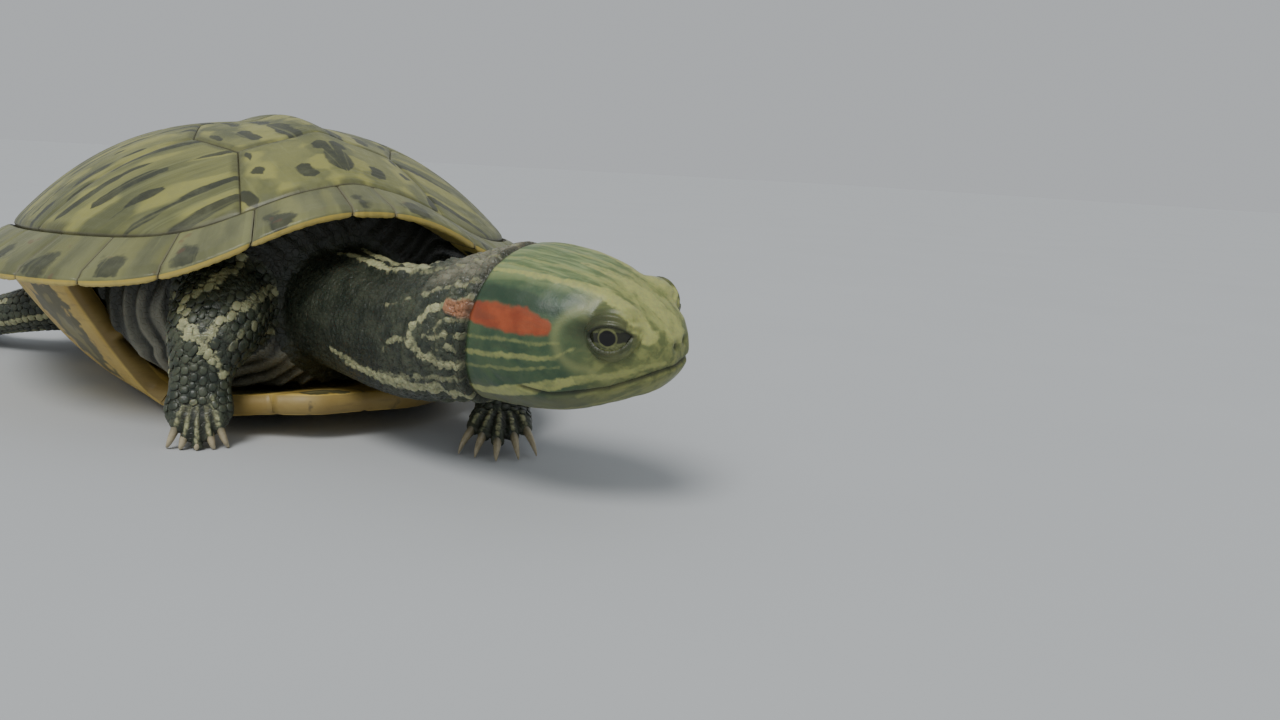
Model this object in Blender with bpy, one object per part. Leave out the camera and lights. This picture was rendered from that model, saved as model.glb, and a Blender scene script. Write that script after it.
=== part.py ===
"""Young red-eared slider turtle at life size, standing with its front end raised on its forefeet.

The shell is a mosaic of separate scutes round a soft trunk, from which the neck, legs and tail come.
The animal faces +X with its left side at +Y, and it stands on z = 0. Lengths here are millimetres,
which object_from() turns into metres.
"""

from math import atan2, ceil, cos, exp, hypot, pi, radians, sin, sqrt

import bmesh
import bpy
from mathutils import Matrix, Vector

MM = 0.001
GAP = 0.3  # left between neighbouring solids

# Carapace: the plan outline is a superellipse with its centre at the shell's middle.
FRONT_REACH = 39.5
REAR_REACH = 40.5
HALF_WIDTH = 35.3
SQUARENESS = 2.3
DOME_TOP = 32.9
SIDE_RIM_Z = 15.4
FRONT_RIM_Z = 23.3
REAR_RIM_Z = 9.4
FRONT_ARCH_POWER = 12  # a high power keeps the arch over the neck narrow
MARGIN_SEAM = 0.83  # share of the plan radius where costals meet marginals
SEAM_SHARE = 0.23  # share of the dome's height left at that seam
DOME_POWER = 2.6
KEEL_HEIGHT = 1.1
KEEL_WIDTH = 2.4
SCUTE_THICKNESS = 1.5
SCUTE_BEVEL = 0.25

# Scute layout. Vertebral seams cross the keel, and costal seams meet each vertebral's widest point.
VERTEBRAL_SEAMS = (20.5, 5.5, -9.5, -23.5)
SEAM_HALF_WIDTHS = (9.0, 9.5, 9.0, 7.0)
VERTEBRAL_WIDEST = ((13.0, 12.0), (-2.0, 12.5), (-17.0, 11.5))
COSTAL_ANGLES = tuple(radians(a) for a in (20.0, 73.0, 98.0, 123.0, 159.0))
MARGINALS = 12
NUCHAL_HALF_ANGLE = radians(2.5)
FRONT_SERRATION = 0.15
REAR_SERRATION = 0.7
FIRST_SERRATED = 7

# Plastron: half outlines, from the midline at the front to the midline at the back.
PLASTRON_THICKNESS = 2.2
PLASTRON_BEVEL = 0.8
WING_SHARES = (0.9, 0.75, 0.6, 0.45)
PLASTRON_FLAT_Y = 17.0
BRIDGE_SHARE = 0.87  # share of the plan radius where the bridge meets the marginals
BRIDGE_CURVE = 1.5
BRIDGE_ANGLES = tuple(radians(a) for a in (60.0, 85.5, 120.0))
LOBE_RISE = 1.3
LOBE_RISE_FROM = 24.0
LOBE_RISE_OVER = 12.0

# Stance: the shell pitches up about the back of the plastron, and the floor flattens what touches it.
PITCH = radians(1.6)
PITCH_HINGE_X = -27.0
FLOOR_BITE = 0.2

# Head, in its own frame: x to the snout, y to its left, origin in the middle of the skull.
HEAD_CENTRE = Vector((65.2, 8.9, 16.2))
HEAD_YAW = radians(26.0)
HEAD_PITCH = radians(0.0)
HEAD_ROLL = radians(16.0)
HEAD_BACK_X = -7.6
BACK_LEAN = 0.22  # the edge of the collar leans forward at the nape
# station x, half width, top, bottom, squareness of the section
HEAD_STATIONS = (
    (HEAD_BACK_X, 7.1, 6.9, -7.6, 2.2),
    (-5.0, 7.5, 7.0, -7.4, 2.3),
    (-2.0, 7.7, 6.7, -7.2, 2.4),
    (1.0, 7.3, 6.3, -6.8, 2.4),
    (3.5, 6.3, 5.7, -6.1, 2.4),
    (6.0, 5.0, 4.7, -5.3, 2.3),
    (8.1, 3.8, 3.2, -4.4, 2.3),
    (9.4, 2.7, 1.9, -3.4, 2.3),
    (10.2, 1.7, 0.7, -2.4, 2.2),
)
BACK_RING = HEAD_STATIONS[0]
EYE_CENTRE = Vector((5.8, 3.3, 1.7))
EYE_RADIUS = 2.3
LID_RADIUS = 2.8
LID_CENTRE = Vector((5.6, 2.75, 1.6))
# The mouth from the snout back to its corner, and on along the cheek to the neck
MOUTH_LINE = (
    (12.0, -1.5),
    (9.2, -1.9),
    (5.6, -3.0),
    (1.0, -3.4),
    (-1.8, -2.8),
    (-4.6, -4.6),
    (-12.0, -6.5),
)

# Flesh spines. Each station is a centre with its half width and half height.
NECK_STATIONS = (
    ((16.0, 0.0, 13.6), 7.2, 6.6),
    ((25.0, 0.1, 13.3), 7.0, 6.6),
    ((33.0, 0.8, 13.0), 6.8, 6.5),
    ((41.0, 1.9, 12.7), 6.8, 6.5),
    ((48.0, 3.0, 13.3), 6.9, 6.6),
    ((54.0, 4.3, 14.8), 7.1, 6.9),
)
TAIL_STATIONS = (
    ((-26.0, 0.0, 8.3), 4.4, 3.2),
    ((-33.0, 0.0, 6.9), 3.4, 2.6),
    ((-39.0, -0.8, 5.0), 2.4, 2.0),
    ((-45.0, -2.6, 2.6), 1.6, 1.4),
    ((-51.0, -5.6, 0.9), 0.8, 0.8),
)
SECTION_POINTS = 16
FOOT_SECTION = 12


def clear_scene():
    for found in list(bpy.data.objects):
        bpy.data.objects.remove(found)


def collection_named(name):
    made = bpy.data.collections.new(name)
    bpy.context.scene.collection.children.link(made)
    return made


def material_named(name, colour, roughness):
    made = bpy.data.materials.new(name)
    made.use_nodes = True
    shader = made.node_tree.nodes["Principled BSDF"]
    shader.inputs["Base Color"].default_value = (*colour, 1.0)
    shader.inputs["Roughness"].default_value = roughness
    shader.inputs["Metallic"].default_value = 0.0
    made.diffuse_color = (*colour, 1.0)
    return made


def object_from(name, mesh_data, material):
    """Links an object whose bmesh is in millimetres, with its faces turned outwards."""
    bmesh.ops.recalc_face_normals(mesh_data, faces=mesh_data.faces)
    bmesh.ops.scale(mesh_data, vec=(MM, MM, MM), verts=mesh_data.verts)
    mesh = bpy.data.meshes.new(name)
    mesh_data.to_mesh(mesh)
    mesh_data.free()
    mesh.materials.append(material)
    made = bpy.data.objects.new(name, mesh)
    TURTLE.objects.link(made)
    return made


def boolean(target, tool, operation, keep_tool=False):
    """Joins or cuts target with tool, applies the result and removes the tool."""
    modifier = target.modifiers.new(operation.title(), "BOOLEAN")
    modifier.operation = operation
    modifier.object = tool
    modifier.solver = "EXACT"
    bpy.context.view_layer.update()
    graph = bpy.context.evaluated_depsgraph_get()
    mesh = bpy.data.meshes.new_from_object(target.evaluated_get(graph))
    target.modifiers.clear()
    target.data = mesh
    if not keep_tool:
        bpy.data.objects.remove(tool)
    return target


def bridge_rings(mesh_data, first, second):
    """Quads between two rings of the same number of vertices."""
    for k in range(len(first)):
        j = (k + 1) % len(first)
        mesh_data.faces.new((first[k], first[j], second[j], second[k]))


def fan(mesh_data, ring, tip):
    for k in range(len(ring)):
        mesh_data.faces.new((ring[k], ring[(k + 1) % len(ring)], tip))


def loft(name, rings, material):
    """A closed solid through rings of points, with flat ends."""
    mesh_data = bmesh.new()
    made = [[mesh_data.verts.new(point) for point in ring] for ring in rings]
    for first, second in zip(made, made[1:]):
        bridge_rings(mesh_data, first, second)
    mesh_data.faces.new(made[0])
    mesh_data.faces.new(made[-1])
    return object_from(name, mesh_data, material)


def signed_power(value, power):
    return abs(value) ** power * (1 if value >= 0 else -1)


def smooth(share):
    share = min(1.0, max(0.0, share))
    return share * share * (3.0 - 2.0 * share)


# ---------------------------------------------------------------- the shell's surfaces


def rim_plan(angle):
    """The shell's outer edge in plan. Angle 0 is the front and a quarter turn is the left side."""
    reach = FRONT_REACH if cos(angle) >= 0 else REAR_REACH
    power = 2.0 / SQUARENESS
    return Vector((reach * signed_power(cos(angle), power), HALF_WIDTH * signed_power(sin(angle), power)))


def plan_position(x, y):
    """A plan point as its share of the plan radius and its angle on the outline."""
    reach = FRONT_REACH if x >= 0 else REAR_REACH
    along = (abs(x) / reach) ** SQUARENESS
    across = (abs(y) / HALF_WIDTH) ** SQUARENESS
    angle = atan2(sqrt(across) * (1 if y >= 0 else -1), sqrt(along) * (1 if x >= 0 else -1))
    return (along + across) ** (1.0 / SQUARENESS), angle


def rim_height(angle):
    front = max(0.0, cos(angle)) ** FRONT_ARCH_POWER
    rear = max(0.0, -cos(angle)) ** 2
    return SIDE_RIM_Z + (FRONT_RIM_Z - SIDE_RIM_Z) * front + (REAR_RIM_Z - SIDE_RIM_Z) * rear


def dome_share(share):
    if share <= MARGIN_SEAM:
        return 1.0 - (1.0 - SEAM_SHARE) * (share / MARGIN_SEAM) ** DOME_POWER
    return SEAM_SHARE * (1.0 - share) / (1.0 - MARGIN_SEAM)


def dome_height(x, y):
    share, angle = plan_position(x, y)
    rim = rim_height(angle)
    keel = KEEL_HEIGHT * exp(-((y / KEEL_WIDTH) ** 2)) * max(0.0, 1.0 - share**2)
    return rim + (DOME_TOP - rim) * dome_share(share) + keel


def plastron_height(x, y):
    """The underside: flat in the middle, up at the lobes' ends, and up the bridge to the marginals."""
    share, angle = plan_position(x, y)
    edge = BRIDGE_SHARE / max(share, 1e-6) * abs(y)
    rise = max(0.0, abs(y) - PLASTRON_FLAT_Y) / max(1.0, edge - PLASTRON_FLAT_Y)
    bridge = (rim_height(angle) - 0.5) * rise**BRIDGE_CURVE
    return bridge + LOBE_RISE * smooth((abs(x) - LOBE_RISE_FROM) / LOBE_RISE_OVER)


def surface_normal(surface, x, y):
    step = 0.05
    slope_x = (surface(x + step, y) - surface(x - step, y)) / (2 * step)
    slope_y = (surface(x, y + step) - surface(x, y - step)) / (2 * step)
    return Vector((-slope_x, -slope_y, 1.0)).normalized()


def stance():
    """Pitches the shell up about the back of the plastron and sinks it by what the floor flattens."""
    hinge = Vector((PITCH_HINGE_X, 0.0, 0.0))
    lift = Matrix.Translation(hinge) @ Matrix.Rotation(-PITCH, 4, "Y") @ Matrix.Translation(-hinge)
    return Matrix.Translation((0.0, 0.0, -FLOOR_BITE)) @ lift


# ---------------------------------------------------------------- scutes


def spaced(points, step):
    """A closed outline with its straight edges divided to about step."""
    made = []
    for here, there in zip(points, points[1:] + points[:1]):
        pieces = max(1, ceil(hypot(there[0] - here[0], there[1] - here[1]) / step - 0.2))
        for k in range(pieces):
            share = k / pieces
            made.append((here[0] + (there[0] - here[0]) * share, here[1] + (there[1] - here[1]) * share))
    return made


def inset(points, distance):
    """Moves each edge of a closed outline inwards by distance."""
    pairs = zip(points, points[1:] + points[:1])
    turn = 1 if sum(a[0] * b[1] - b[0] * a[1] for a, b in pairs) > 0 else -1
    made = []
    for before, here, after in zip(points[-1:] + points[:-1], points, points[1:] + points[:1]):
        first = Vector((here[0] - before[0], here[1] - before[1])).normalized()
        second = Vector((after[0] - here[0], after[1] - here[1])).normalized()
        first_in = Vector((-first.y, first.x)) * turn
        second_in = Vector((-second.y, second.x)) * turn
        move = (first_in + second_in) / (1.0 + first_in.dot(second_in)) * distance
        made.append((here[0] + move.x, here[1] + move.y))
    return made


def scute(
    name, outline, centre, surface, side, thickness, material, step=5.6, shares=(0.9, 0.5), bevel=None
):
    """A plate under one outline: rings shrink to its centre, and side is 1 above or -1 below."""
    edge = inset(spaced(outline, step), GAP / 2)
    edge_bevel = bevel or (lambda x, y: SCUTE_BEVEL)
    mesh_data = bmesh.new()

    def ring(share, depth=None):
        made = []
        for x, y in edge:
            sunk = edge_bevel(x, y) if depth is None else depth
            x, y = centre[0] + (x - centre[0]) * share, centre[1] + (y - centre[1]) * share
            normal = surface_normal(surface, x, y) * side
            made.append(mesh_data.verts.new(Vector((x, y, surface(x, y))) - normal * sunk))
        return made

    def middle(depth):
        normal = surface_normal(surface, *centre) * side
        return mesh_data.verts.new(Vector((*centre, surface(*centre))) - normal * depth)

    outer = [ring(1.0)] + [ring(share, 0.0) for share in shares]
    inner = [ring(share, thickness) for share in (1.0,) + shares[1:]]
    for rings in (outer, inner, [outer[0], inner[0]]):
        for first, second in zip(rings, rings[1:]):
            bridge_rings(mesh_data, first, second)
    fan(mesh_data, outer[-1], middle(0.0))
    fan(mesh_data, inner[-1], middle(thickness))
    bmesh.ops.transform(mesh_data, matrix=stance(), verts=mesh_data.verts)
    return object_from(name, mesh_data, material)


def seam_curve(first, last, share, pieces):
    """Plan points along a share of the rim, from one angle to another."""
    made = []
    for k in range(pieces + 1):
        point = rim_plan(first + (last - first) * k / pieces) * share
        made.append((point.x, point.y))
    return made


def mean_point(points):
    return (sum(p[0] for p in points) / len(points), sum(p[1] for p in points) / len(points))


def vertebrals(material):
    front, rear = COSTAL_ANGLES[0], COSTAL_ANGLES[-1]
    seams = [(x, y) for x, y in zip(VERTEBRAL_SEAMS, SEAM_HALF_WIDTHS)]
    for k in range(5):
        if k == 0:
            outline = seam_curve(-front, front, MARGIN_SEAM, 4) + [seams[0], (seams[0][0], -seams[0][1])]
        elif k == 4:
            outline = seam_curve(rear, 2 * pi - rear, MARGIN_SEAM, 4)
            outline += [(seams[3][0], -seams[3][1]), seams[3]]
        else:
            ahead, widest, behind = seams[k - 1], VERTEBRAL_WIDEST[k - 1], seams[k]
            left = [ahead, widest, behind]
            outline = left + [(x, -y) for x, y in reversed(left)]
        centre = (mean_point(outline)[0], 0.0)
        scute(f"vertebral_{k + 1}", outline, centre, dome_height, 1, SCUTE_THICKNESS, material)


def costals(material):
    corners = [tuple(rim_plan(COSTAL_ANGLES[0]) * MARGIN_SEAM)]
    for seam, widest in zip(zip(VERTEBRAL_SEAMS, SEAM_HALF_WIDTHS), VERTEBRAL_WIDEST + (None,)):
        corners += [seam, widest] if widest else [seam]
    corners.append(tuple(rim_plan(COSTAL_ANGLES[-1]) * MARGIN_SEAM))
    for side_name, side in (("left", 1), ("right", -1)):
        for k in range(4):
            inner = corners[2 * k : 2 * k + 3]
            outer = seam_curve(COSTAL_ANGLES[k + 1], COSTAL_ANGLES[k], MARGIN_SEAM, 5)
            if k == 0:
                outer = outer[:-1]
            if k == 3:
                outer = outer[1:]
            outline = [(x, side * y) for x, y in list(inner) + outer]
            name = f"costal_{side_name}_{k + 1}"
            scute(name, outline, mean_point(outline), dome_height, 1, SCUTE_THICKNESS, material)


def marginal_section(angle, bulge):
    """The cross-section of the rim at an angle: over the top, round the edge and back underneath."""
    edge = rim_plan(angle)
    outward = edge.normalized()
    rim = rim_height(angle)

    def on_dome(share, depth):
        x, y = edge * share
        normal = surface_normal(dome_height, x, y)
        return Vector((x, y, dome_height(x, y))) - normal * depth

    def below(share, drop, reach=0.0):
        x, y = edge * share + outward * reach
        return Vector((x, y, rim - drop))

    inner_share = MARGIN_SEAM + GAP / 2 / HALF_WIDTH
    return [
        on_dome(inner_share, SCUTE_BEVEL),
        on_dome(0.86, 0.0),
        on_dome(0.93, 0.0),
        below(0.99, 0.0, bulge),
        below(0.985, 0.9, bulge),
        below(0.89, 0.4),
        on_dome(0.87, SCUTE_THICKNESS),
        on_dome(inner_share + 0.01, SCUTE_THICKNESS),
    ]


def rim_scute(name, first, last, serration, material):
    """One marginal or the nuchal, between two angles on the rim."""
    step = 0.01
    speed = (rim_plan(last - step) - rim_plan(last - 2 * step)).length / step
    trim = GAP / 2 / (speed * MARGIN_SEAM)
    pieces = 2 if last - first < 3 * NUCHAL_HALF_ANGLE else 3
    rings = []
    for k in range(pieces + 1):
        share = k / pieces
        angle = first + trim + (last - first - 2 * trim) * share
        rings.append(marginal_section(angle, serration * sin(pi * share)))
    rings = [[stance() @ point for point in ring] for ring in rings]
    return loft(name, rings, material)


def marginals(material):
    rim_scute("nuchal", -NUCHAL_HALF_ANGLE, NUCHAL_HALF_ANGLE, 0.0, material)
    width = (pi - NUCHAL_HALF_ANGLE) / MARGINALS
    for k in range(MARGINALS):
        first = NUCHAL_HALF_ANGLE + width * k
        serration = REAR_SERRATION if k >= FIRST_SERRATED else FRONT_SERRATION
        rim_scute(f"marginal_left_{k + 1}", first, first + width, serration, material)
        rim_scute(f"marginal_right_{k + 1}", -first - width, -first, serration, material)


def plastron_bevel(x, y):
    """The free edge of the plastron is round, and the seams across it are only creased."""
    share = smooth(max((abs(y) - 11.0) / 5.0, (abs(x) - 31.0) / 4.0))
    return SCUTE_BEVEL + (PLASTRON_BEVEL - SCUTE_BEVEL) * share


def plastron(material):
    """Six pairs of scutes, each pair one plate. The second and third pairs reach up the bridge."""
    front, seam, rear = BRIDGE_ANGLES
    front_wing = seam_curve(front, seam, BRIDGE_SHARE, 4)
    rear_wing = seam_curve(seam, rear, BRIDGE_SHARE, 5)
    humeral = [(29.5, 0.0), (34.2, 9.3), (29.5, 14.6), (24.0, 17.4), (19.5, 17.6), (19.5, 0.0)]
    femoral = [(-15.5, 0.0), (-15.5, 17.6), (-20.0, 18.6), (-25.5, 17.6), (-28.0, 15.8), (-26.5, 0.0)]
    anal = [(-26.5, 0.0), (-28.0, 15.8), (-33.0, 12.2), (-37.0, 6.0), (-37.3, 2.5), (-35.6, 0.0)]
    pectoral = [(19.5, 0.0), (19.5, 17.6), (17.4, 18.6)] + front_wing + [(4.0, 18.0), (4.0, 0.0)]
    abdominal = [(4.0, 0.0), (4.0, 18.0)] + rear_wing + [(-16.0, 19.4), (-15.5, 17.6), (-15.5, 0.0)]
    halves = {
        "gulars": ([(36.5, 0.0), (36.5, 5.5), (34.2, 9.3), (29.5, 0.0)], 33.5),
        "humerals": (humeral, 25.0),
        "pectorals": (pectoral, 11.5),
        "abdominals": (abdominal, -6.5),
        "femorals": (femoral, -21.0),
        "anals": (anal, -31.0),
    }
    for name, (half, centre_x) in halves.items():
        mirrored = [(x, -y) for x, y in reversed(half) if y > 0]
        shares = WING_SHARES if name in ("pectorals", "abdominals") else (0.9, 0.5)
        outline, centre = half + mirrored, (centre_x, 0.0)
        look = (PLASTRON_THICKNESS, material, 5.5, shares, plastron_bevel)
        scute(name, outline, centre, plastron_height, -1, *look)


# ---------------------------------------------------------------- flesh

# The trunk's rings: share of the plan radius at the sides, then how each ring finds its height.
TRUNK_ANGLES = 32
TRUNK_CLEARANCE = 0.7
TRUNK_DOME_SHARES = (0.3, 0.58, 0.72, 0.79)
TRUNK_SIDE_SHARE = 0.76
TRUNK_FLOOR_Z = 3.0
TRUNK_FLOOR_SIDE_Y = 15.5
TRUNK_FLOOR_END_SHARE = 0.70
POCKET_Z = 6.5


def trunk(material):
    """The soft body inside the shell: it follows the scutes' inner faces and shows at the leg pockets."""
    mesh_data = bmesh.new()
    inside = SCUTE_THICKNESS + TRUNK_CLEARANCE
    rings = [[] for _ in range(len(TRUNK_DOME_SHARES) + 2)]
    for k in range(TRUNK_ANGLES):
        angle = 2 * pi * k / TRUNK_ANGLES
        edge = rim_plan(angle)
        rim = rim_height(angle)
        for ring, share in zip(rings, TRUNK_DOME_SHARES):
            x, y = edge * share
            ring.append(Vector((x, y, dome_height(x, y))) - surface_normal(dome_height, x, y) * inside)
        sideways = smooth((abs(sin(angle)) - 0.72) / 0.2)
        low_side = rim + 1.2 * sideways - 1.5 * (1 - sideways)
        low_side = sideways * low_side + (1 - sideways) * POCKET_Z
        rings[-2].append(Vector((*(edge * TRUNK_SIDE_SHARE), low_side)))
        floor = edge * TRUNK_FLOOR_END_SHARE
        floor.y = max(-TRUNK_FLOOR_SIDE_Y, min(TRUNK_FLOOR_SIDE_Y, floor.y))
        lift = LOBE_RISE * smooth((abs(floor.x) - LOBE_RISE_FROM) / LOBE_RISE_OVER)
        rings[-1].append(Vector((*floor, TRUNK_FLOOR_Z + lift)))
    made = [[mesh_data.verts.new(point) for point in ring] for ring in rings]
    top = mesh_data.verts.new((0.0, 0.0, dome_height(0.0, 0.0) - inside))
    fan(mesh_data, made[0], top)
    for first, second in zip(made, made[1:]):
        bridge_rings(mesh_data, first, second)
    fan(mesh_data, made[-1], mesh_data.verts.new((0.0, 0.0, TRUNK_FLOOR_Z)))
    bmesh.ops.transform(mesh_data, matrix=stance(), verts=mesh_data.verts)
    return object_from("trunk", mesh_data, material)


def section(centre, side, up, half_width, top, bottom, squareness, points=SECTION_POINTS):
    """A superellipse ring whose upper and lower halves may differ in height."""
    power = 2.0 / squareness
    made = []
    for k in range(points):
        angle = 2 * pi * (k + 0.5) / points
        across = half_width * signed_power(cos(angle), power)
        height = top if sin(angle) >= 0 else -bottom
        made.append(centre + side * across + up * height * signed_power(sin(angle), power))
    return made


def limb_rings(stations, sideways, squareness=2.2, points=FOOT_SECTION):
    """The rings of a limb along its spine, turned to a sideways direction, and how it ends."""
    centres = [Vector(station[0]) for station in stations]
    rings = []
    for k, (centre, station) in enumerate(zip(centres, stations)):
        along = (centres[min(k + 1, len(centres) - 1)] - centres[max(k - 1, 0)]).normalized()
        side = (sideways - along * sideways.dot(along)).normalized()
        half_width, half_height = station[1:]
        shape = (half_width, half_height, -half_height, squareness, points)
        rings.append(section(centre, side, along.cross(side), *shape))
    return rings, along


def head_frame():
    turn = Matrix.Rotation(HEAD_YAW, 4, "Z") @ Matrix.Rotation(-HEAD_PITCH, 4, "Y")
    return Matrix.Translation(HEAD_CENTRE) @ turn @ Matrix.Rotation(HEAD_ROLL, 4, "X")


def ball(name, centre, radius, material, segments=14, rings=9):
    mesh_data = bmesh.new()
    bmesh.ops.create_uvsphere(mesh_data, u_segments=segments, v_segments=rings, radius=radius)
    # The poles point sideways, so that the pupil sits on one.
    bmesh.ops.rotate(mesh_data, cent=(0, 0, 0), matrix=Matrix.Rotation(pi / 2, 3, "X"), verts=mesh_data.verts)
    bmesh.ops.translate(mesh_data, vec=centre, verts=mesh_data.verts)
    return object_from(name, mesh_data, material)


def prism(name, outline, half_depth, material):
    """An outline in x and z, extruded to both sides of y = 0."""
    rings = [[Vector((x, y, z)) for x, z in outline] for y in (-half_depth, half_depth)]
    return loft(name, rings, material)


def lean(x):
    """How far a head section leans forward for each millimetre of height: most at the back."""
    return BACK_LEAN * max(0.0, min(1.0, (1.0 - x) / (1.0 - HEAD_BACK_X)))


def head(skin, jaw_material, eye_material):
    forward, left, up = Vector((1, 0, 0)), Vector((0, 1, 0)), Vector((0, 0, 1))
    rings = []
    for x, half_width, top, bottom, squareness in HEAD_STATIONS:
        ring = section(forward * x, left, up, half_width, top, bottom, squareness)
        rings.append([point + forward * lean(x) * point.z for point in ring])
    skull = loft("head", rings, skin)
    for side in (1, -1):
        mirror = Vector((1, side, 1))
        boolean(skull, ball("lid", LID_CENTRE * mirror, LID_RADIUS, skin), "UNION")
    jaw = object_copy(skull, "lower_jaw", jaw_material)
    below = [(-12.0, -12.0), (12.0, -12.0)]
    upper_edge = [(x, z + GAP / 2) for x, z in MOUTH_LINE]
    lower_edge = [(x, z - GAP / 2) for x, z in MOUTH_LINE]
    boolean(skull, prism("cut", below + upper_edge, 12.0, skin), "DIFFERENCE")
    boolean(jaw, prism("keep", below + lower_edge, 12.0, skin), "INTERSECT")
    eyes = []
    for side_name, side in (("left", 1), ("right", -1)):
        centre = EYE_CENTRE * Vector((1, side, 1))
        boolean(skull, ball("socket", centre, EYE_RADIUS + GAP, skin), "DIFFERENCE")
        eyes.append(ball(f"eye_{side_name}", centre, EYE_RADIUS, eye_material))
    for part in [skull, jaw] + eyes:
        place(part, head_frame())


def object_copy(source, name, material=None):
    made = source.copy()
    made.data = source.data.copy()
    made.name = made.data.name = name
    if material:
        made.data.materials[0] = material
    TURTLE.objects.link(made)
    return made


def place(part, frame):
    """Bakes a frame given in millimetres into a part's mesh."""
    metres = frame.copy()
    metres.translation *= MM
    part.data.transform(metres)


def neck(material, trunk_cutter):
    """From inside the trunk to the back of the head, ending in the loose collar of skin."""
    frame = head_frame()
    along = (frame.to_3x3() @ Vector((1, 0, 0))).normalized()
    left = frame.to_3x3() @ Vector((0, 1, 0))
    up = frame.to_3x3() @ Vector((0, 0, 1))
    rings = []
    centres = [Vector(station[0]) for station in NECK_STATIONS]
    for k, (_, half_width, half_height) in enumerate(NECK_STATIONS):
        centre = centres[k]
        share = smooth(k / (len(NECK_STATIONS) - 1))
        ahead = centres[min(k + 1, len(centres) - 1)] - centres[max(k - 1, 0)]
        tangent = ahead.normalized().lerp(along, share).normalized()
        side = Vector((0, 1, 0)).lerp(left, share)
        side = (side - tangent * side.dot(tangent)).normalized()
        rings.append(section(centre, side, tangent.cross(side), half_width, half_height, -half_height, 2.2))
    back_x, half_width, top, bottom, squareness = BACK_RING
    across, upright, back = Vector((0, 1, 0)), Vector((0, 0, 1)), Vector((back_x - GAP, 0, 0))
    ring = section(back, across, upright, half_width, top, bottom, squareness)
    rings.append([frame @ (point + Vector((BACK_LEAN * point.z, 0, 0))) for point in ring])
    made = loft("neck", rings, material)
    return boolean(made, trunk_cutter, "DIFFERENCE", keep_tool=True)


def tube(name, points, radii, material, sides_level=1):
    """A tapering round rod through points, from a curve with filled caps."""
    curve = bpy.data.curves.new(name, "CURVE")
    curve.dimensions = "3D"
    curve.bevel_depth = MM
    curve.bevel_resolution = sides_level
    curve.use_fill_caps = True
    spline = curve.splines.new("POLY")
    spline.points.add(len(points) - 1)
    for target, point, radius in zip(spline.points, points, radii):
        target.co = (*(Vector(point) * MM), 1.0)
        target.radius = radius
    rod = bpy.data.objects.new(name + "_rod", curve)
    TURTLE.objects.link(rod)
    bpy.context.view_layer.update()
    graph = bpy.context.evaluated_depsgraph_get()
    mesh = bpy.data.meshes.new_from_object(rod.evaluated_get(graph))
    bpy.data.objects.remove(rod)
    mesh_data = bmesh.new()
    mesh_data.from_mesh(mesh)
    bmesh.ops.remove_doubles(mesh_data, verts=mesh_data.verts, dist=1e-5)
    bmesh.ops.scale(mesh_data, vec=(1 / MM, 1 / MM, 1 / MM), verts=mesh_data.verts)
    return object_from(name, mesh_data, material)


# Feet, with x along the foot, z up from the sole and the origin at the wrist or ankle.
FOREFOOT = {"length": 6.0, "half_width": 3.4, "half_height": 1.7, "toes": 5, "toe": 2.9}
HINDFOOT = {"length": 9.5, "half_width": 4.6, "half_height": 1.6, "toes": 4, "toe": 4.0}
TOE_RADII = (1.2, 1.1, 0.9)
CLAW_LENGTH = 2.8
CLAW_DROOP = 1.3
CLAW_RADII = (0.6, 0.42, 0.26)


def foot(name, size, ankle, ankle_ring, forward, sideways, spread, material):
    """A palm with toes that fan out from it, each ending in a curved claw."""
    forward = forward.normalized()
    side = (sideways - forward * sideways.dot(forward)).normalized()
    frame = Matrix((forward, side, forward.cross(side))).transposed().to_4x4()
    frame.translation = ankle
    stations = ((0.4, 0.88, 1.0), (0.75, 1.0, 0.8), (1.0, 0.85, 0.5))
    length, half_width, half_height = size["length"], size["half_width"], size["half_height"]
    across, top, along = Vector((0, 1, 0)), Vector((0, 0, 1)), Vector((1, 0, 0))
    rings = [ankle_ring]
    for x, width, height in stations:
        w, h = half_width * width, half_height * height
        ring = section(along * length * x, across, top, w, h, -h, 2.3, FOOT_SECTION)
        rings.append([rested(frame @ point, -FLOOR_BITE) for point in ring])
    palm = loft(name, rings, material)
    for k in range(size["toes"]):
        turn = spread * (k / (size["toes"] - 1) - 0.5)
        reach = 1.0 - 0.35 * abs(turn) / (spread / 2)
        ray = Vector((cos(turn), sin(turn), 0.0))
        start = Vector((length * 0.6, sin(turn) * half_width * 1.1, 0.1))
        knuckle = start + ray * length * 0.33 * reach
        tip = knuckle + ray * size["toe"] * reach
        claw = tip + ray * CLAW_LENGTH * 0.55 - top * CLAW_DROOP * 0.3
        point = tip + ray * CLAW_LENGTH - top * CLAW_DROOP
        radii = TOE_RADII + CLAW_RADII
        path = (start, knuckle + top * 0.3, tip, tip + ray * 0.25, claw, point)
        path = [rested(frame @ place, radius - FLOOR_BITE) for place, radius in zip(path, radii)]
        boolean(palm, tube("toe", path, radii, material), "UNION")
    return palm


def rested(point, height):
    """Keeps a point at least this high, so that what meets the floor lies on it."""
    return Vector((point.x, point.y, max(point.z, height)))


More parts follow.
